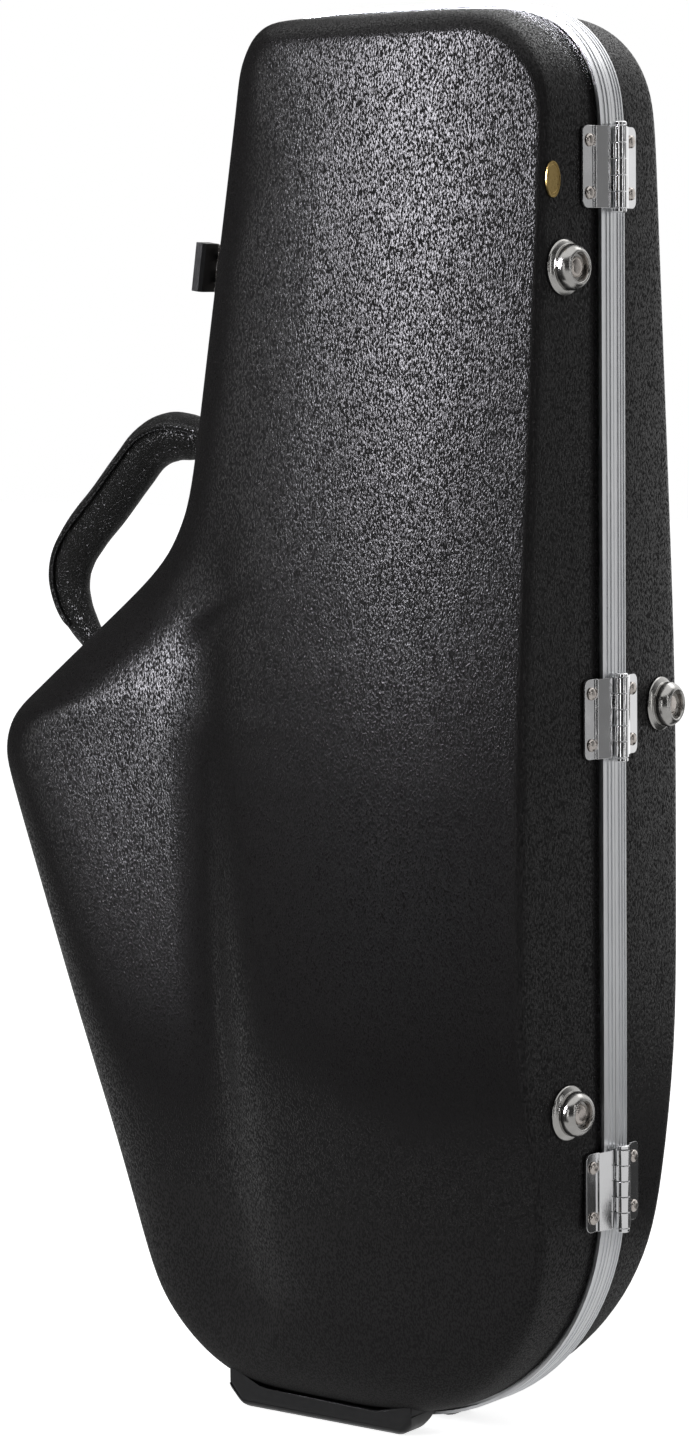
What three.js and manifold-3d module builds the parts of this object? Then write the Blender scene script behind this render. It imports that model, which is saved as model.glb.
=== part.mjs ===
// Alto saxophone case: two moulded shells that meet on a metal valance, three hinges on one side,
// three draw latches and a carrying handle on the other, and a padded bed for the instrument inside.
// Millimetres, +Z up. The shells part on the plane y = 0: the lid lies towards -Y, the base towards +Y.
// While it is built, x = 0 is the hinge side's edge; at the end the whole case is centred on x = 0.

import * as THREE from 'three';
import { mergeVertices } from 'three/addons/utils/BufferGeometryUtils.js';
import Module from 'manifold-3d';

const wasm = await Module();
wasm.setup();

// Clearances that every piece shares
const seat_gap = 0.3;
const cut_overrun = 1;
const half_share = 0.5;

// Outline of the shells on the parting plane, before its corners are rounded
const shell_bottom = 6;
const shell_top = 656;
const neck_width = 184;
const notch_width = 219.5;
const bell_width = 335;
const bell_height = 323.6;
const notch_rise = 93.4;
const notch_height = bell_height + notch_rise;
const bottom_width = 238;
const top_hinge_radius = 50;
const top_neck_radius = 38;
const bottom_hinge_radius = 112;
const bottom_bell_radius = 80;
const bell_radius = 40;
const notch_radius = 75;

// Mould form of a shell: depth of the dome, its arch, and where it tapers and turns under
const crown_depth = 82;
const crown_arch = 16;
const crown_center = 105;
const crown_half_width = 104;
const lid_taper_start = 309;
const base_taper_start = 350;
const taper_end = 656;
const taper_drop = 23;
const taper_blend = 60;
const bow_start = 200;
const bow_length = 200;
const bow_edge = 16;
const bell_crown = 76;
const bell_crown_height = 330;
const bell_slope = 0.11;
const bell_blend = 20;
const bell_shoulder = 400;
const bell_arch = 6;
const bell_half_width = 60;
const bell_center_low = 231;
const bell_center_low_height = 157;
const bell_center_high = 263;
const bell_center_high_height = 314;
const merge_top = 190;
const merge_bottom = 110;
const merge_crisp = 3;
const merge_soft = 30;
const body_edge = 214;
const body_edge_height = 330;
const body_edge_low = 157;
const body_edge_bottom = 195;
const body_rounding = 60;
const body_wall = 14;
const draft_degrees = 4;
const draft = Math.tan(THREE.MathUtils.degToRad(draft_degrees));

// Rounding between the wall and the dome: its width across the face and its depth
const top_rounding = { width: 14, wall: 32 };
const lid_hinge_rounding = { width: 5, depth: 5 };
const base_hinge_rounding = { width: 11, depth: 11 };
const bottom_rounding = { width: 60, wall: 16 };
const bell_side_rounding = { width: 50, wall: 22 };
const shoulder_rounding = { width: 45, wall: 18 };
const neck_rounding = { width: 52, wall: 14 };

// How the outline and the rings across the shells are divided
const neck_segments = 5;
const neck_steps = 4;
const notch_segments = 3;
const shoulder_steps = 3;
const bell_segments = 4;
const side_steps = 5;
const low_segments = 5;
const hinge_low_segments = 6;
const hinge_top_segments = 5;
const outer_turn_shares = [0.25, 0.5, 0.75, 1];
const inner_turn_shares = [0.5, 1];
const plain_outer_shares = [0.3, 0.55, 0.8, 1];
const plain_inner_shares = [0.5, 1];
const crease_steps = 60;
const crease_width = 0.06;
const crease_least = 0.15;
const ring_end_share = 0.84;
const most_turn_share = 0.7;
const least_facing = 0.55;
const least_turn = 1.5;
const draft_guess = 3;
const spine_x_top = 98;
const spine_x_bottom = 128;
const spine_top = 590;
const spine_bottom = 90;

// Shells and valance
const shell_wall = 3;
const valance_half_width = 9.3;
const valance_leg = 1.4;
const valance_web = 4.6;
const groove_near = 0.4;
const groove_width = 2.8;
const tongue_clearance = 0.4;
const groove_depth = 2.5;
const tongue_height = 2;
const tongue_least = 0.05;
const tongue_fade_near = 20;
const tongue_fade_far = 70;
const parting_gap = 0.3;
const valance_face = parting_gap * half_share;
const valance_top = seat_gap + valance_leg;
const inner_leg_outside = shell_wall + draft * valance_half_width + seat_gap;
const inner_leg_inside = inner_leg_outside + valance_leg;
const rim_depth = valance_web + seat_gap;

// Hinges
const hinge_heights = { upper: 583, middle: 339, lower: 125 };
const leaf_height = 36;
const leaf_reach = 21.2;
const leaf_thickness = 1.2;
const leaf_start = 3.7;
const leaf_step_run = 1;
const knuckle_segments = 14;
const bore_segments = 8;
const knuckle_radius = 3.35;
const knuckle_count = 5;
const knuckle_bore = 1.8;
const hinge_pin_radius = 1.5;
const hinge_pin_head_radius = 2.6;
const hinge_pin_head = 1.8;
const axis_out = valance_top + seat_gap + knuckle_radius;
const rivet_radius = 1.5;
const rivet_hole = 1.8;
const rivet_head_radius = 2.9;
const rivet_head_height = 1.2;
const rivet_shoulder_share = 0.7;
const rivet_spread = 11.5;
const rivet_reach = 16.4;

// Round feet on the hinge side
const foot_places = [
  { name: 'upper', side: -1, reach: 33, height: 539 },
  { name: 'middle', side: 1, reach: 45, height: 341 },
  { name: 'lower', side: -1, reach: 32.5, height: 164 },
];
const foot_flange_radius = 12.5;
const foot_flange_thickness = 0.8;
const foot_dome_radius = 9.7;
const foot_rim_radius = 7;
const foot_height = 8.7;
const foot_recess_radius = 6.15;
const foot_recess_floor = 5.6;
const foot_rivet_radius = 4.6;
const foot_rivet_height = 1.5;
const foot_segments = 20;

// Badge on the lid's hinge-side wall
const badge_width = 11;
const badge_height = 16.5;
const badge_thickness = 0.8;
const badge_reach = 39.5;
const badge_z = 577;
const badge_bevel = 0.3;

// Draw latches
const neck_latch_rise = 124;
const latch_places = [
  { name: 'neck', side: -1, line_name: 'neck', height: notch_height + neck_latch_rise },
  { name: 'bell', side: 1, line_name: 'bell', height: 232 },
  { name: 'bow', side: 1, line_name: 'bell', height: 118 },
];
const pad_depth = 12;
const diagonal_share = 0.7;
const latch_plate_start = 10.8;
const latch_plate_end = 27;
const latch_half_width = 11.3;
const latch_plate_thickness = 1;
const latch_pin_reach = 16.5;
const latch_pin_out = 6.4;
const latch_pin_radius = 1;
const latch_pin_hole = 1.3;
const latch_ear_inner = 2.4;
const latch_ear_thickness = 1.4;
const latch_ear_half_length = 3;
const latch_ear_top = 2.2;
const lever_cheek_inner = 4.3;
const lever_cheek_outer = 6.5;
const lever_cheek_radius = 2.7;
const lever_bottom = 1.8;
const lever_top = 8.8;
const lever_skin = 1.4;
const lever_bridge_start = 20.7;
const lever_tip_start = 24.4;
const lever_tip_end = 35;
const lever_tip_lift = 0.8;
const bail_pivot_reach = 21;
const bail_out = 3.9;
const bail_wire = 1.1;
const bail_hole = 1.4;
const bail_arm = 8.3;
const bail_stub = 4.8;
const bail_bar_reach = 13;
const keeper_start = 10.8;
const keeper_end = 22;
const keeper_half_width = 9.5;
const keeper_nose_start = 11.4;
const keeper_nose_end = 14.6;
const keeper_nose_half_width = 5.8;
const keeper_lip_end = 16.2;
const keeper_lip_top = 4.6;

// Handle
const handle_offset = 20;
const handle_pin_out = 13;
const handle_upper_rise = 39;
const handle_upper_height = notch_height + handle_upper_rise;
const handle_lower_along = 34;
const handle_knuckle_radius = 6.4;
const handle_knuckle_half = 7;
const handle_bore = 2.3;
const handle_pin_radius = 2;
const handle_pin_head_radius = 3.2;
const handle_pin_head = 1;
const handle_lug = 2;
const handle_plate_half_length = 13;
const handle_plate_half_width = 9.5;
const handle_plate_thickness = 2;
const handle_lug_radius = 4.2;
const lug_straight = 8;
const lug_reach = 26;
const lug_spread = 3;
const lug_clearance = 2.4;
const corner_share = 0.41;
const handle_end_half = { across: 6, wide: 6 };
const handle_grip_half = { across: 10.8, wide: 13 };
const grip_route = [
  { along_share: 0.081, out: 13.5 },
  { along_share: 0.128, out: 23.8 },
  { along_share: 0.186, out: 32.9 },
  { along_share: 0.276, out: 39.3 },
  { along_share: 0.397, out: 40.8 },
  { along_share: 0.567, out: 41.6 },
  { along_share: 0.733, out: 43.1 },
  { along_share: 0.829, out: 41.5 },
  { along_share: 0.902, out: 36.1 },
  { along_share: 0.956, out: 26.3 },
  { along_share: 0.981, out: 15.9 },
];
const upper_start_share = 0.02;
const upper_full_share = 0.19;
const lower_start_share = 0.18;
const lower_full_share = 0.42;
const grip_rings = 16;
const grip_sides = 10;

// Stand under the shells
const stand_left = 200;
const stand_right = 92;
const stand_slope = 7;
const stand_inner = 11;
const stand_outer = 30;
const stand_top = 26;

// Padding: the bed in the base and the liner in the lid
const lining_gap = 1;
const liner_thickness = 6;
const bed_top = 2;
const bed_top_inset = inner_leg_inside + seat_gap + lining_gap;
const lining_start = valance_half_width + lining_gap + seat_gap;
const body_recess = [
  { x: -100, z: 592, radius: 27 },
  { x: -103, z: 470, radius: 32 },
  { x: -112, z: 130, radius: 44 },
];
const bell_recess = [
  { x: -150, z: 92, radius: 42 },
  { x: -218, z: 190, radius: 50 },
  { x: -256, z: 300, radius: 50 },
];
const bow_recess = [
  { x: -112, z: 130, radius: 44 },
  { x: -150, z: 92, radius: 42 },
];
const box_recess = { left: -186, right: -146, bottom: 478, top: 612, radius: 9 };
const recess_depth = 44;
const box_depth = 27;
const recess_segments = 7;

// Materials
const black_plastic = { color: 0x17171a, roughness: 0.45, metalness: 0 };
const bare_aluminium = { color: 0xb9bbbf, roughness: 0.34, metalness: 1 };
const bright_chrome = { color: 0xd4d5d8, roughness: 0.14, metalness: 1 };
const dull_steel = { color: 0x8f8a84, roughness: 0.4, metalness: 1 };
const gilt = { color: 0xb08a3e, roughness: 0.35, metalness: 1 };
const latch_black = { color: 0x101012, roughness: 0.38, metalness: 0.2 };
const grip_black = { color: 0x141414, roughness: 0.55, metalness: 0 };
const plush = { color: 0x1b1c22, roughness: 0.95, metalness: 0 };

const frame = new THREE.Group();
const parts = new THREE.Group();
frame.add(parts);

function add_part(name, geometry, look, parent = parts) {
  const mesh = new THREE.Mesh(geometry, new THREE.MeshStandardMaterial(look));
  mesh.name = name;
  parent.add(mesh);
  return mesh;
}

function to_solid(geometry) {
  const bare = geometry.clone();
  bare.deleteAttribute('normal');
  bare.deleteAttribute('uv');
  const merged = mergeVertices(bare);
  const source = {
    numProp: 3,
    vertProperties: new Float32Array(merged.attributes.position.array),
    triVerts: new Uint32Array(merged.index.array),
  };
  return new wasm.Manifold(new wasm.Mesh(source));
}

function to_geometry(solid) {
  const mesh = solid.getMesh();
  const geometry = new THREE.BufferGeometry();
  const corners = new Float32Array(mesh.numVert * 3);
  for (let i = 0; i < mesh.numVert; i += 1) {
    for (let k = 0; k < 3; k += 1) {
      corners[3 * i + k] = mesh.vertProperties[mesh.numProp * i + k];
    }
  }
  geometry.setAttribute('position', new THREE.BufferAttribute(corners, 3));
  geometry.setIndex(Array.from(mesh.triVerts));
  geometry.computeVertexNormals();
  return geometry;
}

// Join a list of closed geometries, then cut a list of others out of them
function join_and_cut(joined, cut) {
  let solid = to_solid(joined[0]);
  for (const geometry of joined.slice(1)) {
    solid = solid.add(to_solid(geometry));
  }
  for (const geometry of cut) {
    solid = solid.subtract(to_solid(geometry));
  }
  return to_geometry(solid);
}

// Closed faces from points and triangles, turned the right way out by their own volume
function closed_geometry(points, triangles) {
  let volume = 0;
  for (const [a, b, c] of triangles) {
    volume += points[a].dot(points[b].clone().cross(points[c]));
  }
  const geometry = new THREE.BufferGeometry().setFromPoints(points);
  const order = volume > 0 ? triangles : triangles.map(([a, b, c]) => [a, c, b]);
  geometry.setIndex(order.flat());
  geometry.computeVertexNormals();
  return geometry;
}

// Quads between two loops of points that have the same count, split the same way whichever way they face
function join_loops(triangles, first, second, count, turned = false) {
  for (let i = 0; i < count; i += 1) {
    const next = (i + 1) % count;
    for (const [a, b, c] of [[first + i, first + next, second + next], [first + i, second + next, second + i]]) {
      triangles.push(turned ? [a, c, b] : [a, b, c]);
    }
  }
}

// Close a loop across its middle, joining each point to the one across from it
function close_across(triangles, start, count, turned) {
  const half = count / 2;
  const face = (a, b, c) => {
    const corners = turned ? [a, c, b] : [a, b, c];
    triangles.push(corners.map((corner) => start + corner));
  };
  face(0, 1, count - 1);
  for (let i = 1; i < half - 1; i += 1) {
    face(i, i + 1, count - i);
    face(i + 1, count - i - 1, count - i);
  }
  face(half - 1, half, half + 1);
}

function smooth_step(value, low, high) {
  const t = THREE.MathUtils.clamp((value - low) / (high - low), 0, 1);
  return t * t * (3 - 2 * t);
}

// A line whose slope starts gently: zero below -blend, the value itself above +blend
function soft_knee(value, blend) {
  if (value <= -blend) {
    return 0;
  }
  if (value >= blend) {
    return value;
  }
  return (value + blend) ** 2 / (4 * blend);
}

// Outline

const outline_corners = {
  top_hinge: { x: 0, z: shell_top, radius: top_hinge_radius },
  bottom_hinge: { x: 0, z: shell_bottom, radius: bottom_hinge_radius },
  bottom_bell: { x: -bottom_width, z: shell_bottom, radius: bottom_bell_radius },
  bell: { x: -bell_width, z: bell_height, radius: bell_radius },
  notch: { x: -notch_width, z: notch_height, radius: notch_radius },
  top_neck: { x: -neck_width, z: shell_top, radius: top_neck_radius },
};

function flat(corner) {
  return new THREE.Vector2(corner.x, corner.z);
}

// Arc that rounds a corner, as points from the side before it to the side after it
function corner_arc(before, corner, after, segments) {
  const arriving = flat(corner).sub(flat(before)).normalize();
  const leaving = flat(after).sub(flat(corner)).normalize();
  const turn = Math.atan2(arriving.cross(leaving), arriving.dot(leaving));
  const reach = corner.radius * Math.tan(Math.abs(turn) * half_share);
  const start = flat(corner).addScaledVector(arriving, -reach);
  const inward = new THREE.Vector2(-arriving.y, arriving.x).multiplyScalar(Math.sign(turn));
  const center = start.clone().addScaledVector(inward, corner.radius);
  const points = [];
  for (let i = 0; i <= segments; i += 1) {
    const angle = (turn * i) / segments;
    const arm = start.clone().sub(center).rotateAround(new THREE.Vector2(0, 0), angle);
    const outward = arm.clone().normalize().multiplyScalar(Math.sign(turn));
    points.push({ x: center.x + arm.x, z: center.y + arm.y, nx: outward.x, nz: outward.y, share: i / segments });
  }
  return points;
}

function straight_side(from, to, segments) {
  const points = [];
  for (let i = 1; i < segments; i += 1) {
    const share = i / segments;
    const x = THREE.MathUtils.lerp(from.x, to.x, share);
    const z = THREE.MathUtils.lerp(from.z, to.z, share);
    points.push({ x, z, nx: from.nx, nz: from.nz });
  }
  return points;
}

function with_rounding(points, before, after) {
  return points.map((point) => {
    const blend = smooth_step(point.share ?? 0, 0, 1);
    const width = THREE.MathUtils.lerp(before.width, after.width, blend);
    return { ...point, before, after, blend, width };
  });
}

// Every point runs down the handle side, then down the hinge side, level with it where both are straight
function make_outline(hinge_rounding) {
  const c = outline_corners;
  const neck_arc = corner_arc(c.top_hinge, c.top_neck, c.notch, neck_segments);
  const notch_arc = corner_arc(c.top_neck, c.notch, c.bell, notch_segments);
  const bell_arc = corner_arc(c.notch, c.bell, c.bottom_bell, bell_segments);
  const low_arc = corner_arc(c.bell, c.bottom_bell, c.bottom_hinge, low_segments);
  const hinge_low_arc = corner_arc(c.bottom_bell, c.bottom_hinge, c.top_hinge, hinge_low_segments);
  const hinge_top_arc = corner_arc(c.bottom_hinge, c.top_hinge, c.top_neck, hinge_top_segments);
  const last = (arc) => arc[arc.length - 1];
  const top_x = (neck_arc[0].x + last(hinge_top_arc).x) * half_share;
  const low_x = (last(low_arc).x + hinge_low_arc[0].x) * half_share;
  const left = [
    ...with_rounding(neck_arc, top_rounding, neck_rounding),
    ...with_rounding(straight_side(last(neck_arc), notch_arc[0], neck_steps), neck_rounding, neck_rounding),
    ...with_rounding(notch_arc, neck_rounding, shoulder_rounding),
    ...with_rounding(straight_side(last(notch_arc), bell_arc[0], shoulder_steps), shoulder_rounding, shoulder_rounding),
    ...with_rounding(bell_arc, shoulder_rounding, bell_side_rounding),
    ...with_rounding(straight_side(last(bell_arc), low_arc[0], side_steps), bell_side_rounding, bell_side_rounding),
    ...with_rounding(low_arc, bell_side_rounding, bottom_rounding),
  ];
  const level_end = left.findIndex((point) => point.z < last(bell_arc).z) - 1;
  const first = hinge_top_arc.length;
  const side_count = left.length - first - hinge_low_arc.length - 1;
  const straight = [];
  for (let i = 0; i < side_count; i += 1) {
    const below = (first + i - level_end) / (side_count + first - level_end);
    const level = left[Math.min(first + i, level_end)].z;
    const z = below <= 0 ? level : THREE.MathUtils.lerp(level, last(hinge_low_arc).z, below);
    straight.push({ x: 0, z, nx: 1, nz: 0 });
  }
  const low_side_x = (low_x + hinge_low_arc[0].x) * half_share;
  const low_side = [{ x: low_side_x, z: shell_bottom, nx: 0, nz: -1 }];
  const top_corner = with_rounding(hinge_top_arc, hinge_rounding, top_rounding).reverse();
  const low_corner = with_rounding(hinge_low_arc, bottom_rounding, hinge_rounding).reverse();
  const right = [
    ...top_corner,
    ...with_rounding(straight, hinge_rounding, hinge_rounding),
    ...low_corner,
    ...with_rounding(low_side, bottom_rounding, bottom_rounding),
  ];
  const top = with_rounding([{ x: top_x, z: shell_top, nx: 0, nz: 1 }], top_rounding, top_rounding);
  const low = with_rounding([{ x: low_x, z: shell_bottom, nx: 0, nz: -1 }], bottom_rounding, bottom_rounding);
  return [...top, ...right, ...low, ...left.reverse()];
}

// Depth of the dome over a point of the outline's plane

function body_edge_at(z) {
  const share = (z - body_edge_low) / (body_edge_height - body_edge_low);
  return -THREE.MathUtils.lerp(body_edge_bottom, body_edge, THREE.MathUtils.clamp(share, -1, 1));
}

function bow_depth(depth, z) {
  if (z >= bow_start) {
    return depth;
  }
  const share = Math.min((bow_start - z) / bow_length, 1);
  return bow_edge + (depth - bow_edge) * Math.sqrt(1 - share * share);
}

function body_depth(x, z, form) {
  const taper = taper_drop * soft_knee(z - form.taper_start, taper_blend) / (taper_end - form.taper_start);
  const across = (x + crown_center) / crown_half_width;
  const depth = bow_depth(crown_depth - crown_arch - taper + crown_arch * (1 - across * across), z);
  const fold = body_edge_at(z) + body_rounding;
  if (x >= fold) {
    return depth;
  }
  const share = Math.min((fold - x) / body_rounding, 1);
  return body_wall + (depth - body_wall) * Math.sqrt(1 - share * share);
}

function bell_depth(x, z) {
  const height_share = (z - bell_center_low_height) / (bell_center_high_height - bell_center_low_height);
  const center = -THREE.MathUtils.lerp(bell_center_low, bell_center_high, Math.min(height_share, 1));
  const across = (x - center) / bell_half_width;
  const rise = bell_slope * soft_knee(bell_crown_height - z, bell_blend);
  const shoulder = soft_knee(z - bell_shoulder, bell_blend);
  return bell_crown - rise - shoulder - bell_arch * across * across;
}

function face_depth(x, z, form) {
  const body = body_depth(x, z, form);
  const bell = bell_depth(x, z);
  const blend = THREE.MathUtils.lerp(merge_soft, merge_crisp, smooth_step(z, merge_bottom, merge_top));
  return (body + bell + Math.sqrt((body - bell) ** 2 + blend * blend) - blend) * half_share;
}

// Where a run across the face crosses the crease between the bell and the body, or zero if it doesn't
function crease_share(on_face, form) {
  const ahead = (share) => {
    const [x, z] = on_face(share);
    return bell_depth(x, z) - body_depth(x, z, form);
  };
  for (let k = 1; k <= crease_steps; k += 1) {
    const share = k / crease_steps;
    if (ahead(0) > 0 && ahead(share) <= 0) {
      return THREE.MathUtils.clamp(share - half_share / crease_steps, crease_least, 1 - crease_least);
    }
  }
  return 0;
}

function outer_face_shares(crease) {
  if (crease === 0) {
    return plain_outer_shares;
  }
  return [crease - crease_width, crease + crease_width, (1 + crease) * half_share, 1];
}

function inner_face_shares(crease) {
  return crease === 0 ? plain_inner_shares : [crease, 1];
}

// One layer of a shell: rings of points from the rim to the middle, a given distance inside its outer face
function layer_rings(form, inside, rim, turn_shares, face_shares) {
  const outline = form.outline;
  const count = outline.length;
  const rings = Array.from({ length: 2 + turn_shares.length + face_shares(0).length }, () => []);
  for (let i = 0; i < count; i += 1) {
    const edge = outline[i];
    const pair = outline[(count - i) % count];
    const level = ((edge.z + pair.z) * half_share - shell_bottom) / (shell_top - shell_bottom);
    const spine_x = -THREE.MathUtils.lerp(spine_x_bottom, spine_x_top, level);
    const spine_z = THREE.MathUtils.lerp(spine_bottom, spine_top, level);
    const toward = new THREE.Vector2(spine_x - edge.x, spine_z - edge.z).normalize();
    const facing = Math.max(-(toward.x * edge.nx + toward.y * edge.nz), least_facing);
    const start_x = edge.x - edge.nx * draft_guess;
    const start_z = edge.z - edge.nz * draft_guess;
    const end_depth = face_depth(start_x + toward.x * edge.width / facing, start_z + toward.y * edge.width / facing, form);
    const wall_of = (rounding) => rounding.wall ?? end_depth - rounding.depth;
    const wall = THREE.MathUtils.lerp(wall_of(edge.before), wall_of(edge.after), edge.blend);
    const turn_width = Math.max(edge.width, inside + least_turn);
    const turn_start = Math.min(wall, end_depth - inside - least_turn);
    const corner = (depth) => {
      const inset = draft * depth + inside;
      return [edge.x - edge.nx * inset, edge.z - edge.nz * inset];
    };
    const [rim_x, rim_z] = corner(rim);
    rings[0].push([rim_x, rim, rim_z]);
    const [wall_x, wall_z] = corner(turn_start);
    rings[1].push([wall_x, turn_start, wall_z]);
    const along = new THREE.Vector2(spine_x - wall_x, spine_z - wall_z);
    const length = along.length();
    along.divideScalar(length);
    const place = (s) => [wall_x + along.x * s, wall_z + along.y * s];
    const turn_end = Math.min((turn_width - inside) / facing, length * most_turn_share);
    const [end_x, end_z] = place(turn_end);
    const turn_height = face_depth(end_x, end_z, form) - inside - turn_start;
    turn_shares.forEach((share, k) => {
      const angle = share * Math.PI * half_share;
      const [x, z] = place(turn_end * (1 - Math.cos(angle)));
      rings[2 + k].push([x, turn_start + turn_height * Math.sin(angle), z]);
    });
    const reach = length * ring_end_share;
    const on_face = (share) => place(THREE.MathUtils.lerp(turn_end, reach, share));
    const shares = face_shares(crease_share(on_face, form));
    shares.forEach((share, k) => {
      const [x, z] = on_face(share);
      rings[2 + turn_shares.length + k].push([x, face_depth(x, z, form) - inside, z]);
    });
  }
  return rings;
}

function ring_points(rings, side) {
  return rings.flat().map(([x, depth, z]) => new THREE.Vector3(x, side * depth, z));
}

// A skin between two layers, joined at the rim
function skin_geometry(outer, inner, side) {
  const count = outer[0].length;
  const points = [...ring_points(outer, side), ...ring_points(inner, side)];
  const triangles = [];
  const inner_start = outer.length * count;
  for (let ring = 0; ring < outer.length - 1; ring += 1) {
    join_loops(triangles, ring * count, (ring + 1) * count, count);
  }
  close_across(triangles, (outer.length - 1) * count, count, false);
  for (let ring = 0; ring < inner.length - 1; ring += 1) {
    join_loops(triangles, inner_start + ring * count, inner_start + (ring + 1) * count, count, true);
  }
  close_across(triangles, inner_start + (inner.length - 1) * count, count, true);
  join_loops(triangles, inner_start, 0, count);
  return closed_geometry(points, triangles);
}

// A solid that fills one layer up to a flat face at its rim
function filled_geometry(rings, side) {
  const count = rings[0].length;
  const points = ring_points(rings, side);
  const triangles = [];
  for (let ring = 0; ring < rings.length - 1; ring += 1) {
    join_loops(triangles, ring * count, (ring + 1) * count, count);
  }
  close_across(triangles, (rings.length - 1) * count, count, false);
  close_across(triangles, 0, count, true);
  return closed_geometry(points, triangles);
}

const lid_form = { side: -1, taper_start: lid_taper_start, outline: make_outline(lid_hinge_rounding) };
const base_form = { side: 1, taper_start: base_taper_start, outline: make_outline(base_hinge_rounding) };

function shell_geometry(form) {
  const outer = layer_rings(form, 0, rim_depth, outer_turn_shares, outer_face_shares);
  const inner = layer_rings(form, shell_wall, rim_depth, inner_turn_shares, inner_face_shares);
  return skin_geometry(outer, inner, form.side);
}

add_part('lid_shell', shell_geometry(lid_form), black_plastic);
add_part('base_shell', shell_geometry(base_form), black_plastic);

// Valance: a channel that grips each shell's rim, with a tongue on the base's and a groove on the lid's

function tongue_at(x) {
  const share = smooth_step(-x, tongue_fade_near, tongue_fade_far);
  return THREE.MathUtils.lerp(tongue_least, tongue_height, share);
}

function valance_geometry(form, joint_section) {
  const outline = form.outline;
  const count = outline.length;
  const points = [];
  let rows = 0;
  for (const edge of outline) {
    const section = [
      [valance_top, valance_face],
      [valance_top, valance_half_width],
      [seat_gap, valance_half_width],
      [seat_gap, valance_web],
      [-inner_leg_outside, valance_web],
      [-inner_leg_outside, valance_half_width],
      [-inner_leg_inside, valance_half_width],
      [-inner_leg_inside, valance_face],
      ...joint_section(edge.x),
    ];
    rows = section.length;
    for (const [out, depth] of section) {
      points.push(new THREE.Vector3(edge.x + edge.nx * out, form.side * depth, edge.z + edge.nz * out));
    }
  }
  const triangles = [];
  for (let i = 0; i < count; i += 1) {
    const next = (i + 1) % count;
    for (let k = 0; k < rows; k += 1) {
      const up = (k + 1) % rows;
      triangles.push([i * rows + k, next * rows + k, next * rows + up]);
      triangles.push([i * rows + k, next * rows + up, i * rows + up]);
    }
  }
  return closed_geometry(points, triangles);
}

const groove_far = groove_near + groove_width;
const tongue_near = groove_near + tongue_clearance;
const tongue_far = groove_far - tongue_clearance;

const lid_groove = () => [
  [-groove_far, valance_face],
  [-groove_far, valance_face + groove_depth],
  [-groove_near, valance_face + groove_depth],
  [-groove_near, valance_face],
];
const base_tongue = (x) => [
  [-tongue_far, valance_face],
  [-tongue_far, valance_face - tongue_at(x)],
  [-tongue_near, valance_face - tongue_at(x)],
  [-tongue_near, valance_face],
];
add_part('lid_valance', valance_geometry(lid_form, lid_groove), bare_aluminium);
add_part('base_valance', valance_geometry(base_form, base_tongue), bare_aluminium);

// Hinges: the leaves step down from the valance to the shell, and their knuckles share a pin

function lathe(profile, segments) {
  return new THREE.LatheGeometry(profile.map(([radius, along]) => new THREE.Vector2(radius, along)), segments);
}

function prism(outline, depth, start) {
  const shape = new THREE.Shape(outline.map(([u, v]) => new THREE.Vector2(u, v)));
  return new THREE.ExtrudeGeometry(shape, { depth, bevelEnabled: false }).translate(0, 0, start);
}

function box_between(low, high) {
  const size = high.map((value, k) => value - low[k]);
  const middle = high.map((value, k) => (value + low[k]) * half_share);
  return new THREE.BoxGeometry(...size).translate(...middle);
}

// Cylinder along +Z
function rod(radius, start, end, segments) {
  const turned = new THREE.CylinderGeometry(radius, radius, end - start, segments);
  return turned.rotateX(Math.PI * half_share).translate(0, 0, (start + end) * half_share);
}

const leaf_under = valance_top + seat_gap;
const leaf_step_start = valance_half_width + seat_gap;
const leaf_step_end = leaf_step_start + leaf_under + leaf_step_run;
const on_wall = (reach, above) => above - draft * reach;
const tilt = Math.atan(draft);

// Place something built along +Z so that it stands on the hinge side's wall
function on_hinge_wall(geometry, side, reach, height, above) {
  geometry.rotateY(Math.PI * half_share);
  geometry.rotateZ(side * tilt);
  return geometry.translate(on_wall(reach, above), side * reach, height);
}

function leaf_geometry(side, height, knuckles) {
  const profile = [
    [leaf_under, leaf_start],
    [leaf_under, leaf_step_start],
    [on_wall(leaf_step_end, seat_gap), leaf_step_end],
    [on_wall(leaf_reach, seat_gap), leaf_reach],
    [on_wall(leaf_reach, seat_gap + leaf_thickness), leaf_reach],
    [on_wall(leaf_step_end, seat_gap + leaf_thickness), leaf_step_end + leaf_step_run],
    [leaf_under + leaf_thickness, leaf_step_start + leaf_step_run],
    [leaf_under + leaf_thickness, leaf_start],
  ].map(([x, reach]) => [x, side * reach]);
  const start = height - leaf_height * half_share;
  const pitch = leaf_height / knuckle_count;
  const joined = [prism(side > 0 ? profile.reverse() : profile, leaf_height, start)];
  for (const index of knuckles) {
    const low = start + index * pitch + seat_gap * half_share;
    const high = start + (index + 1) * pitch - seat_gap * half_share;
    joined.push(rod(knuckle_radius, low, high, knuckle_segments).translate(axis_out, 0, 0));
    const near = Math.min(0, side * (leaf_start + seat_gap));
    const far = Math.max(0, side * (leaf_start + seat_gap));
    joined.push(box_between([leaf_under, near, low], [leaf_under + leaf_thickness, far, high]));
  }
  const over = cut_overrun;
  const cut = [rod(knuckle_bore, start - over, start + leaf_height + over, bore_segments).translate(axis_out, 0, 0)];
  for (const up of [-1, 1]) {
    const bore = rod(rivet_hole, -over, leaf_thickness + over, bore_segments);
    cut.push(on_hinge_wall(bore, side, rivet_reach, height + up * rivet_spread, seat_gap));
  }
  return join_and_cut(joined, cut);
}

const rivet_profile = [
  [0, 0],
  [rivet_radius, 0],
  [rivet_radius, leaf_thickness + seat_gap],
  [rivet_head_radius, leaf_thickness + seat_gap],
  [rivet_head_radius * rivet_shoulder_share, leaf_thickness + seat_gap + rivet_head_height * rivet_shoulder_share],
  [0, leaf_thickness + seat_gap + rivet_head_height],
];
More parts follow.
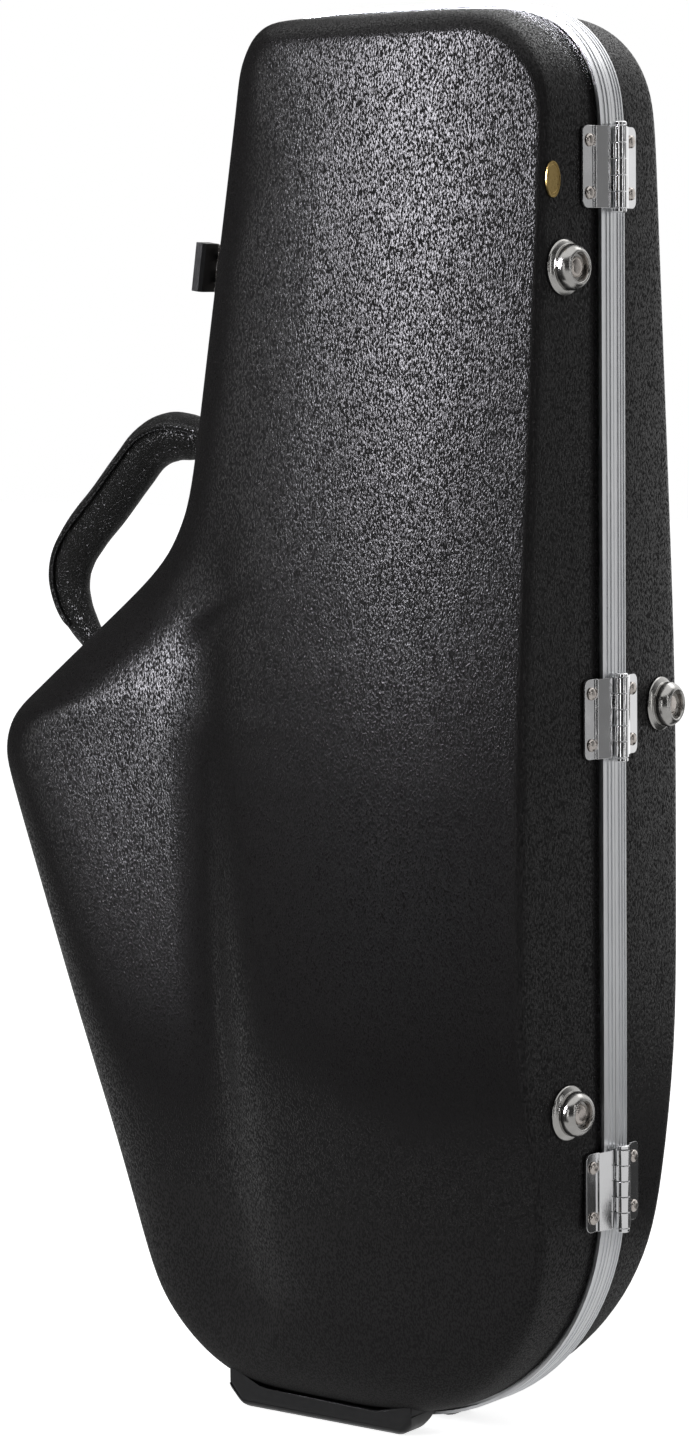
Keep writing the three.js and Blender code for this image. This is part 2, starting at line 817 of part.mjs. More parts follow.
// Lathe turned so that its axis lies along +Z
function turned_part(profile, segments) {
  return lathe(profile, segments).rotateX(Math.PI * half_share);
}

for (const [place, height] of Object.entries(hinge_heights)) {
  add_part(`${place}_hinge_lid_leaf`, leaf_geometry(-1, height, [1, 3]), bright_chrome);
  add_part(`${place}_hinge_base_leaf`, leaf_geometry(1, height, [0, 2, 4]), bright_chrome);
  const half = leaf_height * half_share + seat_gap;
  const pin = turned_part([
    [0, -half - hinge_pin_head],
    [hinge_pin_head_radius, -half - hinge_pin_head],
    [hinge_pin_head_radius, -half],
    [hinge_pin_radius, -half],
    [hinge_pin_radius, half],
    [hinge_pin_head_radius, half],
    [hinge_pin_head_radius, half + hinge_pin_head],
    [0, half + hinge_pin_head],
  ], bore_segments);
  add_part(`${place}_hinge_pin`, pin.translate(axis_out, 0, height), dull_steel);
  for (const [half_name, side] of [['lid', -1], ['base', 1]]) {
    for (const [row_name, up] of [['high', 1], ['low', -1]]) {
      const rivet = turned_part(rivet_profile, bore_segments);
      on_hinge_wall(rivet, side, rivet_reach, height + up * rivet_spread, seat_gap);
      add_part(`${place}_hinge_${half_name}_rivet_${row_name}`, rivet, dull_steel);
    }
  }
}

// Round feet that the case lies on, with a rivet in the middle of each

const foot_profile = [
  [0, 0],
  [foot_flange_radius, 0],
  [foot_flange_radius, foot_flange_thickness],
  [foot_dome_radius, foot_flange_thickness],
  [foot_dome_radius, foot_height * half_share],
  [foot_rim_radius, foot_height],
  [foot_recess_radius, foot_height],
  [foot_recess_radius, foot_recess_floor],
  [0, foot_recess_floor],
];
const foot_rivet_profile = [
  [0, 0],
  [foot_rivet_radius, 0],
  [foot_rivet_radius * rivet_shoulder_share, foot_rivet_height * rivet_shoulder_share],
  [0, foot_rivet_height],
];
for (const place of foot_places) {
  const foot = turned_part(foot_profile, foot_segments);
  on_hinge_wall(foot, place.side, place.reach, place.height, seat_gap);
  add_part(`${place.name}_side_foot`, foot, bright_chrome);
  const rivet = turned_part(foot_rivet_profile, knuckle_segments);
  on_hinge_wall(rivet, place.side, place.reach, place.height, seat_gap + foot_recess_floor + seat_gap);
  add_part(`${place.name}_side_foot_rivet`, rivet, dull_steel);
}

// Bare oval badge

const badge_radius = badge_height * half_share;
const badge = turned_part([
  [0, 0],
  [badge_radius, 0],
  [badge_radius, badge_thickness - badge_bevel],
  [badge_radius - badge_bevel, badge_thickness],
  [0, badge_thickness],
], foot_segments);
badge.scale(1, badge_width / badge_height, 1);
on_hinge_wall(badge, -1, badge_reach, badge_z, seat_gap);
add_part('badge_plate', badge, gilt);

// What stands on the shells' walls is cut back to them by these fillings, a seat gap larger all round

const lid_hull = filled_geometry(layer_rings(lid_form, -seat_gap, 0, outer_turn_shares, outer_face_shares), -1);
const base_hull = filled_geometry(layer_rings(base_form, -seat_gap, 0, outer_turn_shares, outer_face_shares), 1);
const hull_of = (side) => (side < 0 ? lid_hull : base_hull);

// A slab whose profile lies in the depth and outward directions, drawn along the wall from low to high
function slab(profile, low, high) {
  const turn = new THREE.Matrix4().makeBasis(
    new THREE.Vector3(0, 1, 0),
    new THREE.Vector3(0, 0, 1),
    new THREE.Vector3(1, 0, 0),
  );
  return prism(profile, high - low, low).applyMatrix4(turn);
}

function rod_along_wall(radius, low, high, depth, out) {
  return rod(radius, low, high, bore_segments).rotateY(Math.PI * half_share).translate(0, depth, out);
}

function rod_across(radius, low, high, along, out) {
  return rod(radius, low, high, bore_segments).rotateX(-Math.PI * half_share).translate(along, 0, out);
}

// Frame on a wall: along it, into the depth of the lever's own half, and outwards
function wall_frame(x, z, nx, nz, side) {
  const along = new THREE.Vector3(side * nz, 0, -side * nx);
  const deep = new THREE.Vector3(0, side, 0);
  const out = new THREE.Vector3(nx, 0, nz);
  return new THREE.Matrix4().makeBasis(along, deep, out).setPosition(x, 0, z);
}

// A straight side of the outline as its start, its direction and the direction out of it
function side_line(from, to) {
  const start = flat(from);
  const along = flat(to).sub(start).normalize();
  return { start, along, out: new THREE.Vector2(along.y, -along.x).negate() };
}

const neck_line = side_line(outline_corners.top_neck, outline_corners.notch);
const shoulder_line = side_line(outline_corners.notch, outline_corners.bell);
const bell_line = side_line(outline_corners.bell, outline_corners.bottom_bell);
for (const line of [neck_line, shoulder_line, bell_line]) {
  if (line.out.x > 0) {
    line.out.negate();
  }
}

function point_at_height(line, height) {
  const share = (height - line.start.y) / line.along.y;
  return line.start.clone().addScaledVector(line.along, share);
}

// Draw latches: base plate with ears, lever, wire bail and keeper

const latch_lines = { neck: neck_line, bell: bell_line };
const plate_top = on_wall(latch_plate_start, seat_gap + latch_plate_thickness);

function latch_plate_geometry() {
  const pad = [
    [latch_plate_start, -pad_depth],
    [latch_plate_end, -pad_depth],
    [latch_plate_end, plate_top],
    [latch_plate_start, plate_top],
  ];
  const ear = [
    [latch_pin_reach - latch_ear_half_length, plate_top * half_share],
    [latch_pin_reach + latch_ear_half_length, plate_top * half_share],
    [latch_pin_reach + latch_ear_half_length, latch_pin_out],
    [latch_pin_reach + latch_ear_half_length * half_share, latch_pin_out + latch_ear_top],
    [latch_pin_reach - latch_ear_half_length * half_share, latch_pin_out + latch_ear_top],
    [latch_pin_reach - latch_ear_half_length, latch_pin_out],
  ];
  const ear_outer = latch_ear_inner + latch_ear_thickness;
  return [
    slab(pad, -latch_half_width, latch_half_width),
    slab(ear, latch_ear_inner, ear_outer),
    slab(ear, -ear_outer, -latch_ear_inner),
  ];
}

function lever_geometry() {
  const round = lever_cheek_radius * diagonal_share;
  const cheek = [
    [latch_pin_reach - lever_cheek_radius, latch_pin_out],
    [latch_pin_reach - round, latch_pin_out - round],
    [latch_pin_reach, latch_pin_out - lever_cheek_radius],
    [bail_pivot_reach - lever_cheek_radius, lever_bottom],
    [lever_tip_start + lever_skin, lever_bottom],
    [lever_tip_start + lever_skin, lever_top],
    [latch_pin_reach, lever_top],
    [latch_pin_reach - round, latch_pin_out + round],
  ];
  const bridge = [
    [lever_bridge_start, lever_top - lever_skin],
    [lever_tip_start + lever_skin, lever_top - lever_skin],
    [lever_tip_start + lever_skin, lever_top],
    [lever_bridge_start, lever_top],
  ];
  const tip = [
    [lever_tip_start, lever_bottom + lever_tip_lift],
    [lever_tip_end - lever_skin, lever_bottom + lever_tip_lift],
    [lever_tip_end, lever_bottom + lever_tip_lift + lever_skin],
    [lever_tip_end, lever_top - lever_skin],
    [lever_tip_end - lever_skin, lever_top],
    [lever_tip_start, lever_top],
  ];
  const joined = [
    slab(cheek, lever_cheek_inner, lever_cheek_outer),
    slab(cheek, -lever_cheek_outer, -lever_cheek_inner),
    slab(bridge, -lever_cheek_outer, lever_cheek_outer),
    slab(tip, -latch_half_width, latch_half_width),
  ];
  const over = lever_cheek_outer + cut_overrun;
  const cut = [
    rod_along_wall(latch_pin_hole, -over, over, latch_pin_reach, latch_pin_out),
    rod_along_wall(bail_hole, -over, over, bail_pivot_reach, bail_out),
  ];
  return join_and_cut(joined, cut);
}

function bail_geometry() {
  const corner = bail_wire * diagonal_share;
  const joined = [
    rod_across(bail_wire, -bail_bar_reach - corner, bail_pivot_reach + corner, bail_arm, bail_out),
    rod_across(bail_wire, -bail_bar_reach - corner, bail_pivot_reach + corner, -bail_arm, bail_out),
    rod_along_wall(bail_wire, -bail_arm, bail_arm, -bail_bar_reach, bail_out),
    rod_along_wall(bail_wire, bail_stub, bail_arm, bail_pivot_reach, bail_out),
    rod_along_wall(bail_wire, -bail_arm, -bail_stub, bail_pivot_reach, bail_out),
  ];
  return join_and_cut(joined, []);
}

const keeper_top = on_wall(keeper_start, seat_gap + latch_plate_thickness);

function keeper_parts() {
  const block = (start, end, top) => [
    [-end, -pad_depth],
    [-start, -pad_depth],
    [-start, top],
    [-end, top],
  ];
  const nose_top = bail_out - bail_wire - seat_gap;
  return [
    slab(block(keeper_start, keeper_end, keeper_top), -keeper_half_width, keeper_half_width),
    slab(block(keeper_nose_start, keeper_lip_end, nose_top), -keeper_nose_half_width, keeper_nose_half_width),
    slab(block(keeper_nose_end, keeper_lip_end, keeper_lip_top), -keeper_nose_half_width, keeper_nose_half_width),
  ];
}

for (const { name, side, line_name, height } of latch_places) {
  const line = latch_lines[line_name];
  const spot = point_at_height(line, height);
  const place = wall_frame(spot.x, spot.y, line.out.x, line.out.y, side);
  const placed = (geometry) => geometry.applyMatrix4(place);
  const over = lever_cheek_outer + cut_overrun;
  const hole = placed(rod_along_wall(latch_pin_hole, -over, over, latch_pin_reach, latch_pin_out));
  const plate = join_and_cut(latch_plate_geometry().map(placed), [hole, hull_of(side)]);
  add_part(`${name}_latch_plate`, plate, dull_steel);
  add_part(`${name}_latch_lever`, placed(lever_geometry()), latch_black);
  add_part(`${name}_latch_bail`, placed(bail_geometry()), bright_chrome);
  const keeper = join_and_cut(keeper_parts().map(placed), [hull_of(-side)]);
  add_part(`${name}_latch_keeper`, keeper, dull_steel);
  const pin = rod_along_wall(latch_pin_radius, -lever_cheek_outer, lever_cheek_outer, latch_pin_reach, latch_pin_out);
  add_part(`${name}_latch_pin`, placed(pin), bright_chrome);
}

// Handle: a curved grip that swings on two pins, each held by a lugged bracket on the base

function handle_pin_spot(line, spot) {
  return spot.clone().addScaledVector(line.out, handle_pin_out);
}

const upper_spot = point_at_height(neck_line, handle_upper_height);
const lower_spot = flat(outline_corners.bell).addScaledVector(shoulder_line.along, -handle_lower_along);
const upper_pin = handle_pin_spot(neck_line, upper_spot);
const lower_pin = handle_pin_spot(shoulder_line, lower_spot);
const swing = lower_pin.clone().sub(upper_pin).normalize();
const swing_out = new THREE.Vector2(swing.y, -swing.x);

// Frame on the swing axis at a pin: outwards, across the case, and along the axis
function pin_frame(pin) {
  return new THREE.Matrix4().makeBasis(
    new THREE.Vector3(swing_out.x, 0, swing_out.y),
    new THREE.Vector3(0, 1, 0),
    new THREE.Vector3(swing.x, 0, swing.y),
  ).setPosition(pin.x, handle_offset, pin.y);
}

const lug_start = handle_knuckle_half + seat_gap;
const lug_end = lug_start + handle_lug;
const lug_profile = [
  [handle_lug_radius, -handle_lug_radius * corner_share],
  [handle_lug_radius, handle_lug_radius * corner_share],
  [handle_lug_radius * corner_share, handle_lug_radius],
  [-lug_straight, handle_lug_radius],
  [-lug_reach, handle_lug_radius + lug_spread],
  [-lug_reach, -handle_lug_radius - lug_spread],
  [-lug_straight, -handle_lug_radius],
  [handle_lug_radius * corner_share, -handle_lug_radius],
];

function bracket_geometry(line, pin) {
  const drop = handle_pin_out / swing_out.dot(line.out);
  const center = pin.clone().addScaledVector(swing_out, -drop);
  const wall = wall_frame(center.x, center.y, line.out.x, line.out.y, 1);
  const pad = box_between(
    [-handle_plate_half_length, handle_offset - handle_plate_half_width, -pad_depth],
    [handle_plate_half_length, handle_offset + handle_plate_half_width, handle_plate_thickness],
  ).applyMatrix4(wall);
  const on_pin = pin_frame(pin);
  const lugs = [lug_start, -lug_end].map((start) => prism(lug_profile, handle_lug, start).applyMatrix4(on_pin));
  const over = lug_end + cut_overrun;
  const bore = rod(handle_bore, -over, over, knuckle_segments).applyMatrix4(on_pin);
  return join_and_cut([pad, ...lugs], [base_hull, bore]);
}

function grip_geometry() {
  const route = grip_route.map(({ along_share, out }) => {
    return upper_pin.clone().lerp(lower_pin, along_share).addScaledVector(swing_out, out);
  });
  const spots = [upper_pin, ...route, lower_pin];
  const curve = new THREE.SplineCurve(spots);
  const points = [];
  for (let i = 0; i <= grip_rings; i += 1) {
    const share = i / grip_rings;
    const spot = curve.getPointAt(share);
    const heading = curve.getTangentAt(share);
    const upper_fill = smooth_step(share, upper_start_share, upper_full_share);
    const lower_fill = smooth_step(1 - share, lower_start_share, lower_full_share);
    const fill = Math.min(upper_fill, lower_fill);
    const across = THREE.MathUtils.lerp(handle_end_half.across, handle_grip_half.across, fill);
    const wide = THREE.MathUtils.lerp(handle_end_half.wide, handle_grip_half.wide, fill);
    for (let k = 0; k < grip_sides; k += 1) {
      const angle = (2 * Math.PI * k) / grip_sides;
      const out = across * Math.cos(angle);
      const x = spot.x - heading.y * out;
      const z = spot.y + heading.x * out;
      points.push(new THREE.Vector3(x, handle_offset + wide * Math.sin(angle), z));
    }
  }
  const triangles = [];
  for (let i = 0; i < grip_rings; i += 1) {
    join_loops(triangles, i * grip_sides, (i + 1) * grip_sides, grip_sides);
  }
  close_across(triangles, grip_rings * grip_sides, grip_sides, false);
  close_across(triangles, 0, grip_sides, true);
  const joined = [closed_geometry(points, triangles)];
  const cut = [];
  for (const pin of [upper_pin, lower_pin]) {
    const on_pin = pin_frame(pin);
    const half = handle_knuckle_half;
    const far = lug_end + handle_pin_head + cut_overrun;
    joined.push(rod(handle_knuckle_radius, -half, half, knuckle_segments).applyMatrix4(on_pin));
    cut.push(rod(handle_bore, -far, far, knuckle_segments).applyMatrix4(on_pin));
    for (const [low, high] of [[half, far], [-far, -half]]) {
      cut.push(rod(handle_lug_radius + lug_clearance, low, high, knuckle_segments).applyMatrix4(on_pin));
    }
  }
  return join_and_cut(joined, cut);
}

add_part('handle_grip', grip_geometry(), grip_black);
const handle_pin_profile = [
  [0, -lug_end - seat_gap - handle_pin_head],
  [handle_pin_head_radius, -lug_end - seat_gap - handle_pin_head],
  [handle_pin_head_radius, -lug_end - seat_gap],
  [handle_pin_radius, -lug_end - seat_gap],
  [handle_pin_radius, lug_end + seat_gap],
  [handle_pin_head_radius, lug_end + seat_gap],
  [handle_pin_head_radius, lug_end + seat_gap + handle_pin_head],
  [0, lug_end + seat_gap + handle_pin_head],
];
for (const [name, line, pin] of [['upper', neck_line, upper_pin], ['lower', shoulder_line, lower_pin]]) {
  add_part(`handle_${name}_bracket`, bracket_geometry(line, pin), latch_black);
  const turned = turned_part(handle_pin_profile, knuckle_segments).applyMatrix4(pin_frame(pin));
  add_part(`handle_${name}_pin`, turned, bright_chrome);
}

// Stand: one block under each half, shaped to its shell

const stand_profile = [
  [-stand_left + stand_slope, 0],
  [-stand_right - stand_slope, 0],
  [-stand_right, stand_slope],
  [-stand_right, stand_top],
  [-stand_left, stand_top],
  [-stand_left, stand_slope],
];
for (const [name, side] of [['lid', -1], ['base', 1]]) {
  const near = side < 0 ? -stand_outer : stand_inner;
  const block = prism(stand_profile, stand_outer - stand_inner, 0).rotateX(Math.PI * half_share);
  block.translate(0, near + stand_outer - stand_inner, 0);
  add_part(`${name}_stand`, join_and_cut([block], [hull_of(side)]), latch_black);
}

// Padding: a bed in the base with hollows for the instrument, and a liner inside the lid

const lining_inside = shell_wall + lining_gap;

// Outline of the tapered slot round two circles
function slot_outline(first, second) {
  const heading = Math.atan2(second.z - first.z, second.x - first.x);
  const distance = Math.hypot(second.x - first.x, second.z - first.z);
  const open = Math.acos((first.radius - second.radius) / distance);
  const points = [];
  const arc = (circle, start, end) => {
    for (let i = 0; i <= recess_segments; i += 1) {
      const angle = THREE.MathUtils.lerp(start, end, i / recess_segments);
      points.push([circle.x + circle.radius * Math.cos(angle), circle.z + circle.radius * Math.sin(angle)]);
    }
  };
  arc(second, heading - open, heading + open);
  arc(first, heading + open, heading + 2 * Math.PI - open);
  return points;
}

// A hollow cut down into the bed from its face
function hollow(outline, depth) {
  const drawn = prism(outline, depth + cut_overrun, 0).rotateX(Math.PI * half_share);
  return drawn.translate(0, bed_top + depth, 0);
}

function bed_geometry() {
  const rings = layer_rings(base_form, lining_inside, lining_start, inner_turn_shares, inner_face_shares);
  const edge = base_form.outline.map((point) => {
    const x = point.x - point.nx * bed_top_inset;
    const z = point.z - point.nz * bed_top_inset;
    return [x, bed_top, z];
  });
  const sunk = base_form.outline.map((point) => {
    const x = point.x - point.nx * bed_top_inset;
    const z = point.z - point.nz * bed_top_inset;
    return [x, lining_start, z];
  });
  const solid = filled_geometry([edge, sunk, ...rings.slice(1)], 1);
  const cut = [];
  for (const row of [body_recess, bow_recess, bell_recess]) {
    for (let i = 0; i < row.length - 1; i += 1) {
      cut.push(hollow(slot_outline(row[i], row[i + 1]), recess_depth));
    }
  }
  const { left, right, bottom, top, radius } = box_recess;
  const box = [
    [left + radius, bottom],
    [right - radius, bottom],
    [right, bottom + radius],
    [right, top - radius],
    [right - radius, top],
    [left + radius, top],
    [left, top - radius],
    [left, bottom + radius],
  ];
  cut.push(hollow(box, box_depth));
  return join_and_cut([solid], cut);
}

add_part('base_bed', bed_geometry(), plush);

function liner_geometry() {
  const outer = layer_rings(lid_form, lining_inside, lining_start, inner_turn_shares, inner_face_shares);
  const deep = lining_inside + liner_thickness;
  const inner = layer_rings(lid_form, deep, lining_start, inner_turn_shares, inner_face_shares);
  return skin_geometry(outer, inner, -1);
}

add_part('lid_liner', liner_geometry(), plush);

// Centre the whole case over x = 0
const box = new THREE.Box3().setFromObject(parts);
parts.position.x = -(box.min.x + box.max.x) * half_share;

export default frame;
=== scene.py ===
import math
import bpy
from mathutils import Matrix, Vector


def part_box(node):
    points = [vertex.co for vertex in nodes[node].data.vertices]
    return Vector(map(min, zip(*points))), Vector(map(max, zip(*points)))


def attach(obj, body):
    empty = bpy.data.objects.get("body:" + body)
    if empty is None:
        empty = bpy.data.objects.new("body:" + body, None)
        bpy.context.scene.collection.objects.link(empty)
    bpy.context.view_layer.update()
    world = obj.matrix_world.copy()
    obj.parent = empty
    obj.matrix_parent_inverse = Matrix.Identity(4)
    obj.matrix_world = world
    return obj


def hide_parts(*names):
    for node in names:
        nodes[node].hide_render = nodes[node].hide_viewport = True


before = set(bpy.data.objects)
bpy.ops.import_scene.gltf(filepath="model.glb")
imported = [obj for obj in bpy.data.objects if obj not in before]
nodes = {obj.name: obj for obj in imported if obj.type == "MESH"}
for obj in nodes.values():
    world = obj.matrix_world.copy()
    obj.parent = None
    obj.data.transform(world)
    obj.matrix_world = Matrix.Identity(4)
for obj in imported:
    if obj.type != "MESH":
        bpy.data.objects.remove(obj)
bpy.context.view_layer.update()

bpy.context.scene.view_settings.view_transform = "Standard"

# Camera
# The case is seen from in front of its hinge side, from a little above, through a long lens.
# It keeps its place to the hinge wall's rim, which lies inward of the hinge pin's line.

pin_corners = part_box("upper_hinge_pin")
pin_line_x = (pin_corners[0][0] + pin_corners[1][0]) / 2
pin_out = 0.00535
rim_x = pin_line_x - pin_out

camera_data = bpy.data.cameras.new("case_camera")
camera = bpy.data.objects.new("case_camera", camera_data)
bpy.context.scene.collection.objects.link(camera)
camera_right = Vector((0.79916, 0.60104, -0.00938))
camera_up = Vector((-0.05214, 0.08485, 0.99503))
camera_back = Vector((0.59885, -0.79470, 0.09915))
camera_spot = Vector((rim_x + 1.009336, -1.53802, 0.52153))
camera.matrix_world = Matrix((
    (camera_right.x, camera_up.x, camera_back.x, camera_spot.x),
    (camera_right.y, camera_up.y, camera_back.y, camera_spot.y),
    (camera_right.z, camera_up.z, camera_back.z, camera_spot.z),
    (0, 0, 0, 1),
))
camera_data.lens = 103.0
camera_data.sensor_width = 36.0
camera_data.clip_end = 50.0
bpy.context.scene.camera = camera

# Light
# A large soft lamp stands high to the front left, so the dome glows, and a weaker one lifts the back edge.
# Dark, grey and white cloths hang round the case and lie under it. Only reflections see them, and they
# give the metal and the grain their darks and highlights, as in a dark studio.

softbox_spot = Vector((-0.705, -2.084, 1.25))
softbox_aim = Vector((0, 0, 0.9))
softbox_width = 1.0
softbox_height = 1.35


def soft_lamp(name, place, aim, width, height, power):
    data = bpy.data.lights.new(name, "AREA")
    data.shape = "RECTANGLE"
    data.size = width
    data.size_y = height
    data.energy = power
    lamp = bpy.data.objects.new(name, data)
    bpy.context.scene.collection.objects.link(lamp)
    heading = aim - place
    lamp.rotation_euler = heading.to_track_quat("-Z", "Y").to_euler()
    lamp.location = place


soft_lamp("front_left_softbox", softbox_spot, softbox_aim, softbox_width, softbox_height, power=26)
soft_lamp("top_back_rim", Vector((0.2, 1.4, 1.9)), Vector((0, 0, 0.4)), width=1.6, height=0.8, power=6)


def math_node(tree, operation, first, second=None, third=None):
    node = tree.nodes.new("ShaderNodeMath")
    node.operation = operation
    for socket, value in zip(node.inputs, (first, second, third)):
        if isinstance(value, (int, float)):
            socket.default_value = value
        elif value is not None:
            tree.links.new(value, socket)
    return node.outputs[0]


def glowing(tree, kind, level, colour=(1, 1, 1)):
    glow = tree.nodes.new(kind)
    glow.inputs["Color"].default_value = (*colour, 1)
    glow.inputs["Strength"].default_value = level
    return glow


def show_by_ray(tree, rays, unseen, seen, output_kind):
    chosen = tree.nodes.new("ShaderNodeMixShader")
    output = tree.nodes.new(output_kind)
    tree.links.new(rays, chosen.inputs[0])
    tree.links.new(unseen.outputs[0], chosen.inputs[1])
    tree.links.new(seen.outputs[0], chosen.inputs[2])
    tree.links.new(chosen.outputs[0], output.inputs[0])


def flag_material(name, level, colour=(1, 1, 1)):
    made = bpy.data.materials.new(name)
    made.use_nodes = True
    tree = made.node_tree
    tree.nodes.clear()
    rays = tree.nodes.new("ShaderNodeLightPath").outputs["Is Glossy Ray"]
    clear = tree.nodes.new("ShaderNodeBsdfTransparent")
    cloth = glowing(tree, "ShaderNodeEmission", level, colour)
    show_by_ray(tree, rays, clear, cloth, "ShaderNodeOutputMaterial")
    return made


def hang_flag(name, paint, spot, turn, width, height):
    bpy.ops.object.select_all(action="DESELECT")
    bpy.ops.mesh.primitive_plane_add(size=1, location=spot, rotation=turn)
    flag = bpy.context.object
    flag.name = name
    flag.scale = (width, height, 1)
    flag.data.materials.append(paint)


def upright(azimuth):
    return math.radians(90), 0, math.radians(azimuth)


flat = (0, 0, 0)
cloth_spot = (-0.702, -2.075, 1.248)
cloth_turn = (softbox_aim - softbox_spot).to_track_quat("Z", "Y").to_euler()
dark_flag = flag_material("dark_flag", 0.04)
dim_flag = flag_material("dim_flag", 0.17)
half_grey_flag = flag_material("half_grey_flag", 0.34)
grey_flag = flag_material("grey_flag", 0.62)
pale_flag = flag_material("pale_flag", 0.8)
white_strip = flag_material("white_strip", 2.2)
fill_card = flag_material("fill_card", 2.6)
softbox_cloth = flag_material("softbox_cloth", 46, (1.0, 0.985, 1.06))
flag_ring = 2.3
flag_middle = 1.25
flag_width = 0.84
flag_height = 2.5
hinge_side_flags = {130: half_grey_flag, 150: pale_flag}
for azimuth in range(-130, 151, 20):
    angle = math.radians(azimuth)
    spot = (flag_ring * math.sin(angle), -flag_ring * math.cos(angle), flag_middle)
    paint = hinge_side_flags.get(azimuth, dark_flag)
    hang_flag("wall_flag", paint, spot, upright(azimuth), flag_width, flag_height)
for card in (
    ("dim_flag", dim_flag, (1.905, 1.1, flag_middle), upright(120), 0.5, flag_height),
    ("fill_card", fill_card, (-1.66, -1.39, 0.8), upright(-50), 0.8, 1.0),
    ("white_strip", white_strip, (2.1, -0.56, 1.0), upright(75), 0.2, 2.0),
    ("white_strip", white_strip, (0.824, -2.04, 0.6), upright(22), 0.3, 1.2),
    ("white_strip", white_strip, (2.16, 0.38, 0.6), upright(100), 0.2, 1.2),
    ("grey_ground_flag", grey_flag, (0, 0, 0.002), flat, 4.6, 4.6),
    ("dark_ground_flag", dark_flag, (-1.0, -1.3, 0.004), flat, 2.6, 2.0),
    ("dark_ground_flag", dark_flag, (0.36, 0.625, 0.004), flat, 0.48, 0.75),
    ("softbox_cloth", softbox_cloth, cloth_spot, cloth_turn, softbox_width, softbox_height),
):
    hang_flag(*card)

# The air is white to the camera, to gloss and to glass, and dim to all else
world = bpy.data.worlds.new("studio_air")
bpy.context.scene.world = world
world.use_nodes = True
air = world.node_tree
air.nodes.clear()
path = air.nodes.new("ShaderNodeLightPath")
camera_or_glossy = math_node(air, "MAXIMUM", path.outputs["Is Camera Ray"], path.outputs["Is Glossy Ray"])
any_of_three = math_node(air, "MAXIMUM", camera_or_glossy, path.outputs["Is Transmission Ray"])
white_air = glowing(air, "ShaderNodeBackground", level=1)
dim_air = glowing(air, "ShaderNodeBackground", level=0.35)
show_by_ray(air, any_of_three, dim_air, white_air, "ShaderNodeOutputWorld")

# Floor
# A wide sheet of pale paper that the case stands on. It takes the case's shadow, and a glow that only the
# camera and gloss see makes it white.

bpy.ops.object.select_all(action="DESELECT")
bpy.ops.mesh.primitive_plane_add(size=14, location=(0, 0, 0))
floor = bpy.context.object
floor.name = "studio_floor"
floor_paint = bpy.data.materials.new("pale_floor")
floor_paint.use_nodes = True
tree = floor_paint.node_tree
tree.nodes.clear()
path = tree.nodes.new("ShaderNodeLightPath")
camera_or_glossy = math_node(tree, "MAXIMUM", path.outputs["Is Camera Ray"], path.outputs["Is Glossy Ray"])
paper = tree.nodes.new("ShaderNodeBsdfPrincipled")
paper.inputs["Base Color"].default_value = (0.84, 0.84, 0.84, 1)
paper.inputs["Roughness"].default_value = 0.9
paper.inputs["Specular IOR Level"].default_value = 0.2
paper_glow = glowing(tree, "ShaderNodeEmission", level=0.8)
paper_and_glow = tree.nodes.new("ShaderNodeAddShader")
tree.links.new(paper.outputs[0], paper_and_glow.inputs[0])
tree.links.new(paper_glow.outputs[0], paper_and_glow.inputs[1])
show_by_ray(tree, camera_or_glossy, paper, paper_and_glow, "ShaderNodeOutputMaterial")
floor.data.materials.append(floor_paint)

# Shells
# Each half is vacuum-formed from black plastic sheet with a long crinkled grain, then trimmed at the rim.
# Both are refined from the frame's own shells, so that dome, bell bulge and crease keep their places.


def new_material(name, colour, rough, metal=0):
    made = bpy.data.materials.new(name)
    made.use_nodes = True
    shader = made.node_tree.nodes["Principled BSDF"]
    shader.inputs["Base Color"].default_value = (*colour, 1)
    shader.inputs["Roughness"].default_value = rough
    shader.inputs["Metallic"].default_value = metal
    return made, made.node_tree, shader


def new_group(name, inputs, outputs):
    group = bpy.data.node_groups.new(name, "ShaderNodeTree")
    for title, value in inputs:
        socket = group.interface.new_socket(title, in_out="INPUT", socket_type="NodeSocketFloat")
        socket.default_value = value
    for title in outputs:
        group.interface.new_socket(title, in_out="OUTPUT", socket_type="NodeSocketFloat")
    return group, group.nodes.new("NodeGroupInput"), group.nodes.new("NodeGroupOutput")


def stretched_place(tree, scale=(1, 1, 1)):
    spot = tree.nodes.new("ShaderNodeTexCoord")
    stretch = tree.nodes.new("ShaderNodeMapping")
    stretch.inputs["Scale"].default_value = scale
    tree.links.new(spot.outputs["Object"], stretch.inputs["Vector"])
    return stretch.outputs[0]


def noise(tree, place, scale, detail):
    cloud = tree.nodes.new("ShaderNodeTexNoise")
    cloud.inputs["Detail"].default_value = detail
    if isinstance(scale, (int, float)):
        cloud.inputs["Scale"].default_value = scale
    else:
        tree.links.new(scale, cloud.inputs["Scale"])
    tree.links.new(place, cloud.inputs["Vector"])
    return cloud.outputs["Fac"]


def ramp(tree, value, low, high, low_out, high_out):
    remap = tree.nodes.new("ShaderNodeMapRange")
    for title, number in (("From Min", low), ("From Max", high), ("To Min", low_out), ("To Max", high_out)):
        remap.inputs[title].default_value = number
    tree.links.new(value, remap.inputs["Value"])
    return remap.outputs[0]


def blend(tree, mask, first, second):
    mix = tree.nodes.new("ShaderNodeMix")
    mix.data_type = "RGBA"
    mix.inputs["A"].default_value = (*first, 1)
    mix.inputs["B"].default_value = (*second, 1)
    tree.links.new(mask, mix.inputs["Factor"])
    return mix.outputs["Result"]


def vary(tree, shader, mask, colours, mask_range, roughness):
    tree.links.new(blend(tree, mask, *colours), shader.inputs["Base Color"])
    tree.links.new(ramp(tree, mask, *mask_range, *roughness), shader.inputs["Roughness"])


def bump(tree, shader, height, depth):
    relief = tree.nodes.new("ShaderNodeBump")
    relief.inputs["Distance"].default_value = depth
    tree.links.new(height, relief.inputs["Height"])
    tree.links.new(relief.outputs[0], shader.inputs["Normal"])
    return relief


